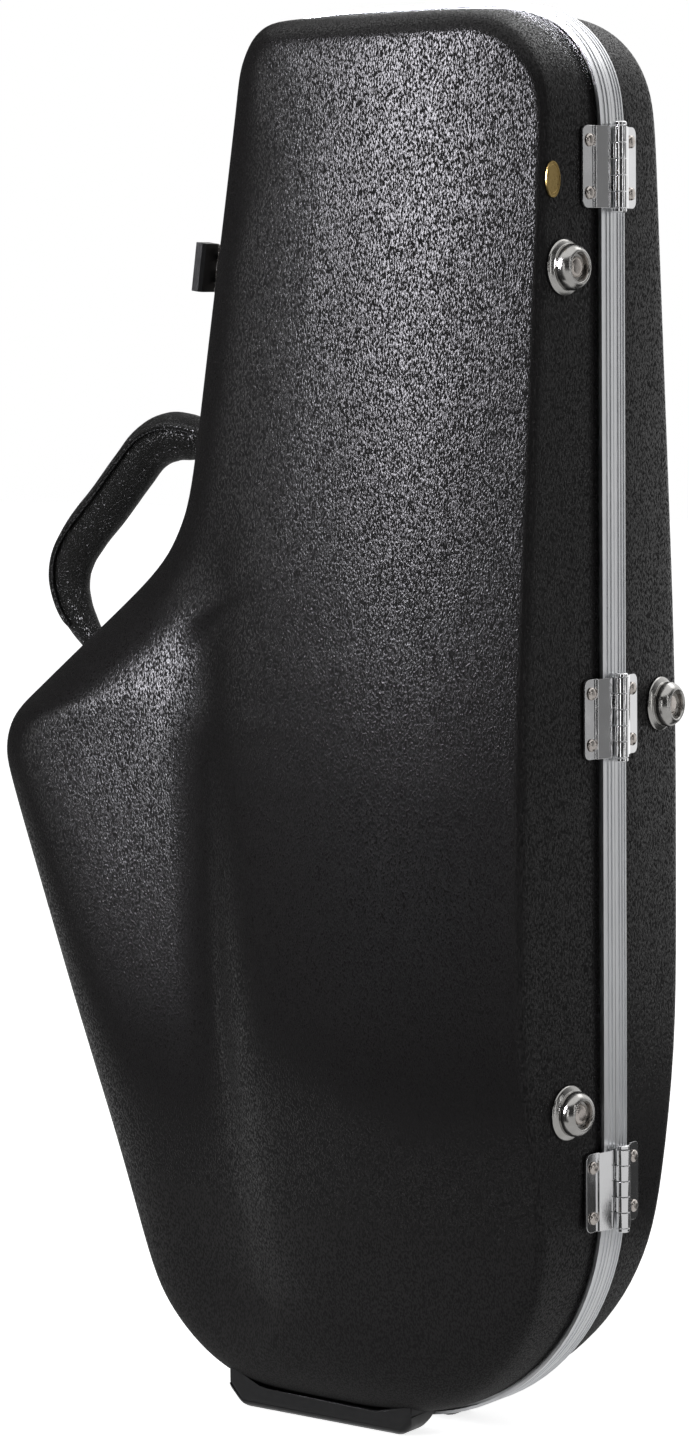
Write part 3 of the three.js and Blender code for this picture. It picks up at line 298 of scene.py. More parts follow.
def use_group(tree, group, **values):
    node = tree.nodes.new("ShaderNodeGroup")
    node.node_tree = group
    for title, value in values.items():
        node.inputs[title.replace("_", " ")].default_value = value
    return node


# Grain of blistered cells: long in Z, with a crest mask and a height
cell_depth = 0.55
crest_foot = 0.1
crest_top = 0.34
grain_inputs = (("Cells per metre", 700), ("Length", 0.4))
crinkle, start, end = new_group("crinkle_grain", grain_inputs, ("Height", "Crest"))
spot = crinkle.nodes.new("ShaderNodeTexCoord")
parted = crinkle.nodes.new("ShaderNodeSeparateXYZ")
joined = crinkle.nodes.new("ShaderNodeCombineXYZ")
crinkle.links.new(spot.outputs["Object"], parted.inputs[0])
crinkle.links.new(parted.outputs["X"], joined.inputs["X"])
crinkle.links.new(parted.outputs["Y"], joined.inputs["Y"])
drawn_out = math_node(crinkle, "MULTIPLY", parted.outputs["Z"], start.outputs["Length"])
crinkle.links.new(drawn_out, joined.inputs["Z"])
ridges = noise(crinkle, joined.outputs[0], start.outputs["Cells per metre"], detail=1.5)
cells = crinkle.nodes.new("ShaderNodeTexVoronoi")
cells.feature = "F1"
crinkle.links.new(joined.outputs[0], cells.inputs["Vector"])
crinkle.links.new(start.outputs["Cells per metre"], cells.inputs["Scale"])
hollow = math_node(crinkle, "MULTIPLY", cells.outputs["Distance"], cell_depth)
height = math_node(crinkle, "SUBTRACT", ridges, hollow)
crinkle.links.new(height, end.inputs["Height"])
crinkle.links.new(ramp(crinkle, height, crest_foot, crest_top, 0, 1), end.inputs["Crest"])

shell_plastic, tree, shader = new_material("crinkled_black_plastic", (0.013, 0.013, 0.014), rough=0.36)
grain = use_group(tree, crinkle, Cells_per_metre=1500, Length=0.42)
spot = tree.nodes.new("ShaderNodeTexCoord")
parted = tree.nodes.new("ShaderNodeSeparateXYZ")
tree.links.new(spot.outputs["Object"], parted.inputs[0])

# The sheet is drawn thinner towards the bow, where its grain fades. The same fade dims the crests there, so
# the low shell is painted darker: painted shade.
fade_end = 0.02
fade_start = 0.13
faded_grain_and_shade = 0.3
grain_fade_and_low_shade = ramp(tree, parted.outputs["Z"], fade_end, fade_start, faded_grain_and_shade, 1)
crest = math_node(tree, "MULTIPLY", grain.outputs["Crest"], grain_fade_and_low_shade)
# The grain's hollows are coloured darker than its crests: painted shade in the hollows.
shaded_hollow_and_crest = ((0.0042, 0.0038, 0.004), (0.0115, 0.0105, 0.011))
vary(tree, shader, crest, shaded_hollow_and_crest, mask_range=(0, 1), roughness=(0.8, 0.18))
shader.inputs["Specular IOR Level"].default_value = 0.25
height = math_node(tree, "MULTIPLY", grain.outputs["Height"], grain_fade_and_low_shade)
relief = bump(tree, shader, height, depth=0.00013)

# The bell bulge's front leans back a little more than its coarse facets do
bulge_start = rim_x - 0.18
bulge_full = rim_x - 0.205
shoulder_start = 0.39
shoulder_full = 0.365
bow_start = 0.08
bow_full = 0.2
lean_share = 0.22
on_bulge = ramp(tree, parted.outputs["X"], bulge_start, bulge_full, 0, 1)
under_shoulder = ramp(tree, parted.outputs["Z"], shoulder_start, shoulder_full, 0, 1)
over_bow = ramp(tree, parted.outputs["Z"], bow_start, bow_full, 0, 1)
lean = math_node(tree, "MULTIPLY", math_node(tree, "MULTIPLY", on_bulge, under_shoulder), over_bow)
leaned = tree.nodes.new("ShaderNodeCombineXYZ")
tree.links.new(math_node(tree, "MULTIPLY", lean, lean_share), leaned.inputs["Z"])
facing = tree.nodes.new("ShaderNodeNewGeometry")
tilted = tree.nodes.new("ShaderNodeVectorMath")
tilted.operation = "ADD"
tree.links.new(facing.outputs["Normal"], tilted.inputs[0])
tree.links.new(leaned.outputs[0], tilted.inputs[1])
tree.links.new(tilted.outputs[0], relief.inputs["Normal"])


def pick(piece):
    bpy.ops.object.select_all(action="DESELECT")
    bpy.context.view_layer.objects.active = piece
    piece.select_set(True)


def edit_all(piece):
    pick(piece)
    bpy.ops.object.mode_set(mode="EDIT")
    bpy.ops.mesh.select_mode(type="VERT")
    bpy.ops.mesh.select_all(action="SELECT")


# Opens a piece with only what passes the test selected: points and edges by place, faces by normal too
def edit(piece, test, kind="VERT"):
    pick(piece)
    bpy.ops.object.mode_set(mode="EDIT")
    bpy.ops.mesh.select_mode(type=kind)
    bpy.ops.mesh.select_all(action="DESELECT")
    bpy.ops.object.mode_set(mode="OBJECT")
    mesh = piece.data
    if kind == "FACE":
        for face in mesh.polygons:
            face.select = test(face.center, face.normal)
    elif kind == "EDGE":
        for edge in mesh.edges:
            edge.select = all(test(mesh.vertices[i].co) for i in edge.vertices)
    else:
        for point in mesh.vertices:
            point.select = test(point.co)
    bpy.ops.object.mode_set(mode="EDIT")


def leave_edit():
    bpy.ops.object.mode_set(mode="OBJECT")


node_weld = 0.00002


# A copy of the frame's node with the doubles of its loose triangles merged
def copy_of_node(node, name):
    bpy.ops.object.select_all(action="DESELECT")
    piece = nodes[node].copy()
    piece.data = nodes[node].data.copy()
    piece.parent = None
    piece.name = name
    piece.data.name = name
    for key in list(piece.keys()):
        del piece[key]
    bpy.context.scene.collection.objects.link(piece)
    piece.matrix_world = Matrix.Identity(4)
    piece.data.materials.clear()
    piece.hide_viewport = False
    piece.hide_render = False
    piece.hide_set(False)
    edit_all(piece)
    bpy.ops.mesh.remove_doubles(threshold=node_weld)
    leave_edit()
    return piece


def modify(piece, kind, **settings):
    pick(piece)
    modifier = piece.modifiers.new(kind.lower(), kind)
    for title, value in settings.items():
        setattr(modifier, title, value)
    bpy.ops.object.modifier_apply(modifier=modifier.name)


# Pieces smoothed below the crisp angle get weighted normals, which keep their flats flat
crisp_angle = 38


def dress(piece, body, material, slot_name, *stands_for, smooth=None):
    pick(piece)
    if smooth is None:
        bpy.ops.object.shade_smooth()
    else:
        bpy.ops.object.shade_smooth_by_angle(angle=math.radians(smooth))
        if smooth < crisp_angle:
            modify(piece, "WEIGHTED_NORMAL", mode="FACE_AREA", weight=90, keep_sharp=True)
    piece.data.materials.clear()
    piece.data.materials.append(material)
    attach(piece, body)
    if stands_for:
        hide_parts(*stands_for)
    return piece


facet_turn = math.radians(70)
facet_skew = math.radians(120)


def join_facets(piece):
    edit_all(piece)
    bpy.ops.mesh.tris_convert_to_quads(face_threshold=facet_turn, shape_threshold=facet_skew)
    leave_edit()


for side in ("lid", "base"):
    shell = copy_of_node(side + "_shell", side + "_formed_shell")
    join_facets(shell)
    modify(shell, "SUBSURF", levels=2, render_levels=2)
    dress(shell, side, shell_plastic, "shell_plastic", side + "_shell")

# Valances
# The two rims are one aluminium extrusion each, bent round the outline, with a lip and fine ribs outside.
# Each is refined from the frame's rim: rounded round the bends, then grooved along its outer face.

rim_grooves = {
    "lid": ((0.0021, 0.0039), (0.005, 0.0074)),
    "base": ((0.0021, 0.0039), (0.005, 0.0062), (0.0069, 0.0084)),
}
groove_depth = 0.0004
rim_turn = math.radians(40)
rim_skew = math.radians(150)
crease_angle = math.radians(38)
groove_angle = math.radians(30)
rim_middle = Vector((rim_x - 0.15, 0, 0.3))

# Brushed lines that run along the rim, because they are constant in Y
brushed, start, end = new_group("brushed_lines", (("Lines per metre", 9000),), ("Line", "Smudge"))
flat_lines = stretched_place(brushed, (0.02, 1.0, 0.02))
fine = noise(brushed, flat_lines, start.outputs["Lines per metre"], detail=2)
smudge = noise(brushed, stretched_place(brushed), scale=45, detail=3)
brushed.links.new(fine, end.inputs["Line"])
brushed.links.new(smudge, end.inputs["Smudge"])

edge_metal, tree, shader = new_material("ribbed_edge_metal", (0.72, 0.73, 0.75), rough=0.3, metal=1)
lines = use_group(tree, brushed, Lines_per_metre=5200)
smudged = blend(tree, lines.outputs["Smudge"], (0.74, 0.75, 0.77), (0.88, 0.89, 0.9))
line_rough = ramp(tree, lines.outputs["Line"], low=0.3, high=0.7, low_out=0.3, high_out=0.46)
tree.links.new(smudged, shader.inputs["Base Color"])
tree.links.new(line_rough, shader.inputs["Roughness"])
bump(tree, shader, lines.outputs["Line"], depth=0.00001)

for side, sign in (("lid", -1), ("base", 1)):
    rim = copy_of_node(side + "_valance", side + "_rim_extrusion")
    bpy.ops.object.mode_set(mode="EDIT")
    bpy.ops.mesh.tris_convert_to_quads(face_threshold=rim_turn, shape_threshold=rim_skew)
    bpy.ops.mesh.select_all(action="DESELECT")
    bpy.ops.mesh.select_mode(type="EDGE")
    bpy.ops.mesh.edges_select_sharp(sharpness=crease_angle)
    bpy.ops.transform.edge_crease(value=1)
    leave_edit()
    modify(rim, "SUBSURF", levels=2, render_levels=2)
    for near, far in rim_grooves[side]:
        for cut in (near, far):
            edit_all(rim)
            bpy.ops.mesh.bisect(plane_co=(0, sign * cut, 0), plane_no=(0, 1, 0))
            leave_edit()

        def between_cuts(spot, normal):
            return near < sign * spot.y < far and normal.dot(spot - rim_middle) > 0

        edit(rim, between_cuts, "FACE")
        bpy.ops.mesh.extrude_region_shrink_fatten(TRANSFORM_OT_shrink_fatten={"value": -groove_depth})
        leave_edit()
    edit(rim, lambda spot: False, "EDGE")
    bpy.ops.mesh.edges_select_sharp(sharpness=groove_angle)
    bpy.ops.mesh.mark_sharp()
    leave_edit()
    dress(rim, side, edge_metal, "valance_metal", side + "_valance", smooth=32)

# Hinges
# Three butt hinges of plated steel: each leaf is one sheet that steps down from the rim to the shell,
# with fingers rolled round the pin. Two dome rivets hold each leaf. One of each is modelled, then copied.

wall_draft = math.radians(4)
draft = math.tan(wall_draft)
seat_gap = 0.0003
hair = 0.00001
hinge_heights = {"upper": 0.583, "middle": 0.339, "lower": 0.125}
leaf_height = 0.036
finger_count = 5
middle_finger = 2
finger_height = leaf_height / finger_count
finger_gap = 0.0003
web_under = 0.0020
web_start = 0.0037
web_end = 0.0058
slope_end = 0.0122
step_end = 0.0127
leaf_end = 0.0212
sheet = 0.0012
leaf_corner = 0.0034
finger_root = 0.0004
curl_turn = math.radians(300)
curl_steps = 22
web_drop = 0.0013
corner_reach = 0.0001
finger_reach = 0.00005
leaf_easing = 0.0002
easing_angle = math.radians(50)
rivet_reach = 0.0164
rivet_spread = 0.0115


def wall_place(side, reach, height, above):
    lift = Matrix.Translation((rim_x + above - draft * reach, side * reach, height))
    turn = Matrix.Rotation(side * wall_draft, 4, "Z")
    return lift @ turn @ Matrix.Rotation(math.radians(90), 4, "Y")


def put(piece, place):
    pick(piece)
    piece.matrix_world = place
    bpy.ops.object.transform_apply(location=True, rotation=True, scale=True)
    return piece


mm_per_metre = 1000


# Rings are pairs of a radius and a height in millimetres, drawn out one from the other
def turned(name, rings, sides):
    bpy.ops.object.select_all(action="DESELECT")
    first_radius, first_height = rings[0]
    bpy.ops.mesh.primitive_circle_add(
        vertices=sides, radius=first_radius / mm_per_metre, fill_type="NGON", location=(0, 0, 0)
    )
    piece = bpy.context.object
    piece.name = name
    piece.data.name = name
    bpy.ops.object.mode_set(mode="EDIT")
    bpy.ops.mesh.select_all(action="SELECT")
    bpy.ops.transform.translate(value=(0, 0, first_height / mm_per_metre))
    for (radius, height), (next_radius, next_height) in zip(rings, rings[1:]):
        rise = (next_height - height) / mm_per_metre
        bpy.ops.mesh.extrude_region_move(TRANSFORM_OT_translate={"value": (0, 0, rise)})
        ratio = next_radius / radius
        ring_middle = (0, 0, next_height / mm_per_metre)
        bpy.ops.transform.resize(value=(ratio, ratio, 1), center_override=ring_middle)
    bpy.ops.mesh.select_all(action="SELECT")
    bpy.ops.mesh.normals_make_consistent(inside=False)
    leave_edit()
    return piece


def twin(piece, name, place):
    pick(piece)
    bpy.ops.object.duplicate(linked=False)
    made = bpy.context.object
    made.name = name
    made.data.name = name
    return put(made, place)


def hinge_leaf(side, fingers):
    bpy.ops.object.select_all(action="DESELECT")
    bpy.ops.mesh.primitive_grid_add(
        x_subdivisions=finger_count, y_subdivisions=1, size=1, location=(0, 0, 0)
    )
    leaf = bpy.context.object
    leaf.scale = (leaf_height, web_end - web_start, 1)
    leaf.rotation_euler = (0, math.radians(90), 0)
    leaf.location = (web_under, side * (web_start + web_end) / 2, 0)
    bpy.ops.object.transform_apply(location=True, rotation=True, scale=True)

    # From the web over the valance come a slope, a short step
    # and the flat that the rivets hold to the shell
    for reach, next_reach, drop in (
        (web_end, slope_end, -web_drop),
        (slope_end, step_end, seat_gap - draft * step_end - web_under + web_drop),
        (step_end, leaf_end, -draft * (leaf_end - step_end)),
    ):
        edit(leaf, lambda spot: abs(spot.y - side * reach) < hair, "EDGE")
        step = (drop, side * (next_reach - reach), 0)
        bpy.ops.mesh.extrude_region_move(TRANSFORM_OT_translate={"value": step})
        leave_edit()
    corner = leaf_height / 2 - corner_reach
    edit(leaf, lambda spot: abs(spot.z) > corner and abs(spot.y) > leaf_end - corner_reach)
    bpy.ops.mesh.bevel(affect="VERTICES", offset=leaf_corner, segments=6)
    leave_edit()

    # Every other fifth of the web's edge is a finger, drawn out level and rolled round the pin
    root_step = (0, -side * finger_root, 0)
    pin_step = (0, side * (finger_root - web_start), 0)
    finger_share = (finger_height - finger_gap) / finger_height
    half = finger_height / 2 + finger_reach
    turn = -side * curl_turn / curl_steps
    for finger in fingers:
        middle = (finger - middle_finger) * finger_height

        def at_finger(spot):
            return abs(spot.z - middle) < half and abs(spot.y - side * web_start) < hair

        edit(leaf, at_finger, "EDGE")
        bpy.ops.mesh.extrude_region_move(TRANSFORM_OT_translate={"value": root_step})
        bpy.ops.transform.resize(value=(1, 1, finger_share), center_override=(0, 0, middle))
        bpy.ops.mesh.extrude_region_move(TRANSFORM_OT_translate={"value": pin_step})
        for step in range(curl_steps):
            bpy.ops.mesh.extrude_region_move(TRANSFORM_OT_translate={"value": (0, 0, 0)})
            bpy.ops.transform.rotate(value=turn, orient_axis="Z", center_override=(pin_out, 0, 0))
        leave_edit()
    edit_all(leaf)
    bpy.ops.mesh.remove_doubles(threshold=hair)
    leave_edit()

    # The sheet gets its thickness outwards, so its faces have to look out first
    web_spot = Vector((web_under, side * (web_start + web_end) / 2, 0))
    web_face = min(leaf.data.polygons, key=lambda face: (face.center - web_spot).length)
    if web_face.normal.x < 0:
        edit_all(leaf)
        bpy.ops.mesh.flip_normals()
        leave_edit()
    modify(leaf, "SOLIDIFY", thickness=sheet, offset=1)
    modify(leaf, "BEVEL", width=leaf_easing, segments=2, limit_method="ANGLE", angle_limit=easing_angle)
    return leaf


# Fine wear for plated and bare metal: soft smears and hairline scratches
wear, start, end = new_group("metal_wear", (("Smears per metre", 60),), ("Smear", "Scratch"))
smear = noise(wear, stretched_place(wear), start.outputs["Smears per metre"], detail=3)
scratch = noise(wear, stretched_place(wear, (1, 1, 0.08)), scale=2600, detail=1)
wear.links.new(smear, end.inputs["Smear"])
wear.links.new(scratch, end.inputs["Scratch"])

chrome, tree, shader = new_material("bright_plating", (0.78, 0.78, 0.8), rough=0.1, metal=1)
worn = use_group(tree, wear, Smears_per_metre=110)
smeared_and_clean = ((0.78, 0.78, 0.79), (0.92, 0.92, 0.93))
vary(tree, shader, worn.outputs["Smear"], smeared_and_clean, mask_range=(0.3, 0.75), roughness=(0.04, 0.14))
bump(tree, shader, worn.outputs["Scratch"], depth=0.00001)

steel, tree, shader = new_material("dull_rivet_steel", (0.55, 0.51, 0.48), rough=0.25, metal=1)
worn = use_group(tree, wear, Smears_per_metre=420)
brown_and_pale = ((0.42, 0.37, 0.34), (0.72, 0.68, 0.64))
vary(tree, shader, worn.outputs["Smear"], brown_and_pale, mask_range=(0.3, 0.7), roughness=(0.14, 0.3))
bump(tree, shader, worn.outputs["Smear"], depth=0.00004)

rivet_rings = (
    (1.5, 0), (1.5, 1.5), (2.9, 1.5), (2.88, 1.75), (2.6, 2.15), (2.05, 2.48), (1.3, 2.66), (0.5, 2.72),
)
hinge_pin_rings = (
    (2.2, -20.1), (2.8, -19.9), (3.1, -19.5), (3.1, -18.4), (2.9, -18.2), (1.5, -18.2),
    (1.5, 18.2), (2.9, 18.2), (3.1, 18.4), (3.1, 19.5), (2.8, 19.9), (2.2, 20.1),
)
first_leaf = {"lid": hinge_leaf(-1, (1, 3)), "base": hinge_leaf(1, (0, 2, 4))}
first_rivet = turned("hinge_rivet", rivet_rings, 28)
first_pin = turned("hinge_pin", hinge_pin_rings, 28)
for place, height in hinge_heights.items():
    here = Matrix.Translation((rim_x, 0, height))
    for half, side in (("lid", -1), ("base", 1)):
        name = place + "_hinge_" + half
        leaf = twin(first_leaf[half], name + "_plated_leaf", here)
        dress(leaf, half, chrome, "bright_metal", name + "_leaf", smooth=35)
        for row, up in (("high", 1), ("low", -1)):
            spot = wall_place(side, rivet_reach, height + up * rivet_spread, seat_gap)
            rivet = twin(first_rivet, name + "_dome_rivet_" + row, spot)
            dress(rivet, half, steel, "dull_metal", name + "_rivet_" + row, smooth=35)
    pin = twin(first_pin, place + "_hinge_turned_pin", Matrix.Translation((pin_line_x, 0, height)))
    dress(pin, "base", chrome, "dull_metal", place + "_hinge_pin", smooth=35)
for spare in (*first_leaf.values(), first_rivet, first_pin):
    bpy.data.objects.remove(spare)

# Side feet
# Three plated domes on thin flanges that the case lies on, each with a dull rivet sunk in its recess.
# One foot and one rivet are drawn out of a circle ring by ring, then copied onto the hinge wall.

foot_places = (
    ("upper", "lid", -1, 0.033, 0.539),
    ("middle", "base", 1, 0.045, 0.341),
    ("lower", "lid", -1, 0.0325, 0.164),
)
recess_floor = 0.0062
foot_rings = (
    (12.5, 0), (12.5, 0.35), (12.25, 0.75), (11.7, 1.1), (11.0, 1.5), (10.4, 1.75), (10.1, 1.9),
    (9.9, 2.1), (9.95, 2.5), (10.15, 3.1), (10.25, 4.0), (10.15, 5.2), (9.75, 6.4), (9.05, 7.5),
    (8.2, 8.4), (7.5, 8.9), (7.05, 9.05), (6.7, 8.95), (6.4, 8.6), (6.25, 8.1), (6.2, 6.1), (5.9, 5.7),
    (1.0, 5.6),
)
foot_rivet_rings = ((4.6, 0), (4.6, 0.45), (4.35, 0.9), (3.6, 1.25), (2.4, 1.43), (1.0, 1.5))
foot_plating, tree, shader = new_material("soft_foot_plating", (0.6, 0.59, 0.57), rough=0.26, metal=1)
worn = use_group(tree, wear, Smears_per_metre=140)
dark_and_soft = ((0.34, 0.33, 0.31), (0.62, 0.61, 0.6))
vary(tree, shader, worn.outputs["Smear"], dark_and_soft, mask_range=(0.3, 0.75), roughness=(0.17, 0.3))
bump(tree, shader, worn.outputs["Scratch"], depth=0.00001)

first_foot = turned("side_foot", foot_rings, 64)
modify(first_foot, "SUBSURF", levels=1, render_levels=1)
first_foot_rivet = turned("side_foot_rivet", foot_rivet_rings, 40)
for name, body, side, reach, height in foot_places:
    foot = twin(first_foot, name + "_plated_foot", wall_place(side, reach, height, seat_gap))
    dress(foot, body, foot_plating, "bright_metal", name + "_side_foot", smooth=50)
    floor_place = wall_place(side, reach, height, recess_floor)
    rivet = twin(first_foot_rivet, name + "_foot_dome_rivet", floor_place)
    dress(rivet, body, steel, "dull_metal", name + "_side_foot_rivet", smooth=50)
for spare in (first_foot, first_foot_rivet):
    bpy.data.objects.remove(spare)

# Badge
# A bare gilt oval on the lid's hinge wall, stamped from sheet brass with two raised borders and glued on.
# It is drawn out of a circle ring by ring, then narrowed.

badge_rings = (
    (8.25, 0), (8.25, 0.5), (8.1, 0.75), (7.75, 0.8), (7.45, 0.72), (7.3, 0.5), (6.5, 0.48),
    (6.35, 0.62), (6.1, 0.64), (5.95, 0.48), (1.0, 0.46),
)
badge_reach = 0.0415
badge_height = 0.577
badge_oval = Matrix.Diagonal((0.97, 0.6, 1, 1))
gilt, tree, shader = new_material("gilt_oval", (0.5, 0.34, 0.12), rough=0.34, metal=1)
worn = use_group(tree, wear, Smears_per_metre=900)
dark_and_pale = ((0.3, 0.2, 0.07), (0.52, 0.38, 0.15))
vary(tree, shader, worn.outputs["Smear"], dark_and_pale, mask_range=(0.3, 0.7), roughness=(0.26, 0.46))
bump(tree, shader, worn.outputs["Smear"], depth=0.00012)
badge = turned("gilt_badge", badge_rings, 64)
put(badge, wall_place(-1, badge_reach, badge_height, seat_gap) @ badge_oval)
dress(badge, "lid", gilt, "badge_gilt", "badge_plate", smooth=40)

# Draw latches
# Each latch is a plate with two ears, a pressed lever on a pin, a wire bail and a hooked keeper.
# They are refined from the frame's own pieces: flat faces joined, edges rounded.

flat_angle = math.radians(1.5)
edge_angle = math.radians(40)

hard_black, tree, shader = new_material("hard_black_moulding", (0.013, 0.013, 0.014), rough=0.35)
worn = use_group(tree, wear, Smears_per_metre=300)
deep_and_rubbed = ((0.008, 0.008, 0.009), (0.022, 0.022, 0.023))
vary(tree, shader, worn.outputs["Smear"], deep_and_rubbed, mask_range=(0.3, 0.7), roughness=(0.28, 0.46))
bump(tree, shader, worn.outputs["Smear"], depth=0.00008)
shader.inputs["Specular IOR Level"].default_value = 0.25


def join_flats(piece):
    edit_all(piece)
    bpy.ops.mesh.dissolve_limited(angle_limit=flat_angle)
    leave_edit()


def eased_copy(node, name, radius):
    piece = copy_of_node(node, name)
    join_flats(piece)
    modify(piece, "BEVEL", width=radius, segments=3, limit_method="ANGLE", angle_limit=edge_angle)
    return piece


for name, lever_side in (("neck", "lid"), ("bell", "base"), ("bow", "base")):
    other = "base" if lever_side == "lid" else "lid"
    for part, body, material, slot_name, radius in (
        ("plate", lever_side, steel, "dull_metal", 0.00018),
        ("lever", name + "_lever", hard_black, "hard_black", 0.00035),
        ("bail", name + "_bail", chrome, "bright_metal", 0.0003),
        ("keeper", other, steel, "dull_metal", 0.0003),
        ("pin", lever_side, chrome, "bright_metal", 0.0002),
    ):
        node = name + "_latch_" + part
        piece = eased_copy(node, name + "_draw_latch_" + part, radius)
        dress(piece, body, material, slot_name, node, smooth=35)

# Handle
# A padded grip of grained hide on two moulded brackets with plated pins, sewn along its outer edge on the
# lid's side. The grip is an oval drawn along its route, with a raised welt between two rows of stitches.

handle_y = 0.02
upper_pin = Vector((rim_x - 0.226566, 0.45791))
lower_pin = Vector((rim_x - 0.316737, 0.355087))
swing = (lower_pin - upper_pin).normalized()
swing_out = Vector((swing.y, -swing.x))
grip_route = (
    (0.0, 0.0), (0.045, 7.2), (0.081, 13.5), (0.128, 23.8), (0.186, 32.9), (0.276, 39.3), (0.397, 40.8),
    (0.567, 41.6), (0.733, 43.1), (0.829, 41.5), (0.902, 36.1), (0.956, 26.3), (0.981, 15.9), (0.992, 8.0),
    (1.0, 0.0),
)
grip_fill = (0.5, 0.6, 0.75, 0.92, 1.0, 1.0, 1.0, 1.0, 1.0, 0.97, 0.9, 0.8, 0.68, 0.58, 0.48)
grip_across = 0.0092
grip_wide = 0.0122
spots = [upper_pin.lerp(lower_pin, along) + swing_out * (out / mm_per_metre) for along, out in grip_route]


def empty_curve(name):
    bpy.ops.object.select_all(action="DESELECT")
    bpy.ops.curve.primitive_bezier_curve_add(radius=1, location=(0, 0, 0))
    route = bpy.context.object
    route.name = name
    bpy.ops.object.mode_set(mode="EDIT")
    bpy.ops.curve.select_all(action="SELECT")
    bpy.ops.curve.delete(type="VERT")
    bpy.ops.object.mode_set(mode="OBJECT")
    return route


def route_curve(name, points, sizes, radius=0, profile=None):
    route = empty_curve(name)
    line = route.data.splines.new("BEZIER")
    line.bezier_points.add(len(points) - 1)
    for knot, place, size in zip(line.bezier_points, points, sizes):
        knot.co = place
        knot.handle_left_type = "AUTO"
        knot.handle_right_type = "AUTO"
        knot.radius = size
    route.data.dimensions = "3D"
    route.data.twist_mode = "MINIMUM"
    route.data.resolution_u = 6
    route.data.use_fill_caps = True
    if profile is None:
        route.data.bevel_depth = radius
        route.data.bevel_resolution = 3
    else:
        route.data.bevel_mode = "OBJECT"
        route.data.bevel_object = profile
    pick(route)
    bpy.ops.object.convert(target="MESH")
    return bpy.context.object


bpy.ops.object.select_all(action="DESELECT")
bpy.ops.curve.primitive_bezier_circle_add(radius=1, location=(0, 0, 0))
oval = bpy.context.object
oval.data.resolution_u = 8
oval.scale = (grip_across, grip_wide, 1)
bpy.ops.object.transform_apply(location=False, rotation=False, scale=True)
centres = [Vector((spot.x, handle_y, spot.y)) for spot in spots]
grip = route_curve("sewn_grip", centres, grip_fill, profile=oval)
bpy.data.objects.remove(oval)


# The place on a smooth line through the knots, a whole number of knots and a rest from its start
def route_at(points, share):
    index = min(int(share), len(points) - 2)
    rest = share - index
    before = points[max(index - 1, 0)]
    here = points[index]
    there = points[index + 1]
    after = points[min(index + 2, len(points) - 1)]
    straight = (there - before) * rest
    bend = (before * 2 - here * 5 + there * 4 - after) * rest * rest
    swerve = (here * 3 - before - there * 3 + after) * rest * rest * rest
    return here + (straight + bend + swerve) / 2


route_probe = 0.02
last_share = len(spots) - 1.001


# The place on the grip's skin at an angle round its oval, from its outer edge towards the base
def grip_skin(share, angle, lift):
    spot = route_at(spots, share)
    after = route_at(spots, min(share + route_probe, last_share))
    ahead = (after - route_at(spots, max(share - route_probe, 0))).normalized()
    outward = Vector((ahead.y, -ahead.x))
    index = min(int(share), len(spots) - 2)
    fill = grip_fill[index] + (grip_fill[index + 1] - grip_fill[index]) * (share - index)
    reach = (grip_across * fill + lift) * math.cos(angle)
    deep = (grip_wide * fill + lift) * math.sin(angle)
    flat = spot + outward * reach
    return Vector((flat.x, handle_y + deep, flat.y))


# Pebbled hide: small rounded cells parted by fine creases
crease_width = 0.22
fold_share = 1.6
hide, start, end = new_group("pebbled_hide", (("Pebbles per metre", 900),), ("Height", "Crease"))
pebbles = hide.nodes.new("ShaderNodeTexVoronoi")
pebbles.feature = "DISTANCE_TO_EDGE"
hide.links.new(stretched_place(hide, (1, 1, 0.6)), pebbles.inputs["Vector"])
hide.links.new(start.outputs["Pebbles per metre"], pebbles.inputs["Scale"])
crease = ramp(hide, pebbles.outputs["Distance"], 0, crease_width, 0, 1)
hide.links.new(crease, end.inputs["Crease"])
folds = noise(hide, stretched_place(hide), scale=260, detail=3)
hide.links.new(math_node(hide, "MULTIPLY_ADD", folds, fold_share, crease), end.inputs["Height"])

grip_hide, tree, shader = new_material("grip_hide", (0.014, 0.014, 0.014), rough=0.42)
shader.inputs["Specular IOR Level"].default_value = 0.4
pebbled = use_group(tree, hide, Pebbles_per_metre=1000)
# The creases are coloured darker than the pebbles: painted shade in the creases.
crease_shade_and_pebble = ((0.003, 0.003, 0.003), (0.014, 0.0135, 0.013))
vary(tree, shader, pebbled.outputs["Crease"], crease_shade_and_pebble, mask_range=(0, 1), roughness=(0.75, 0.34))
bump(tree, shader, pebbled.outputs["Height"], depth=0.0004)

thread, tree, shader = new_material("waxed_thread", (0.03, 0.03, 0.031), rough=0.6)
twist = noise(tree, stretched_place(tree), scale=3000, detail=1)
shade_and_light = ((0.015, 0.015, 0.016), (0.05, 0.05, 0.052))
tree.links.new(blend(tree, twist, *shade_and_light), shader.inputs["Base Color"])
bump(tree, shader, twist, depth=0.0001)


def pin_place(pin):
    return Matrix((
        (swing_out.x, 0, swing.x, pin.x),
        (0, 1, 0, handle_y),
        (swing_out.y, 0, swing.y, pin.y),
        (0, 0, 0, 1),
    ))


end_rings = ((5.4, -7.0), (6.1, -6.8), (6.4, -6.2), (6.4, 6.2), (6.1, 6.8), (5.4, 7.0))
ends = [put(turned("grip_end", end_rings, 36), pin_place(pin)) for pin in (upper_pin, lower_pin)]
bpy.ops.object.select_all(action="DESELECT")
for piece in (*ends, grip):
    piece.select_set(True)
bpy.context.view_layer.objects.active = grip
bpy.ops.object.join()
dress(grip, "handle", grip_hide, "grip_leather", "handle_grip", smooth=40)

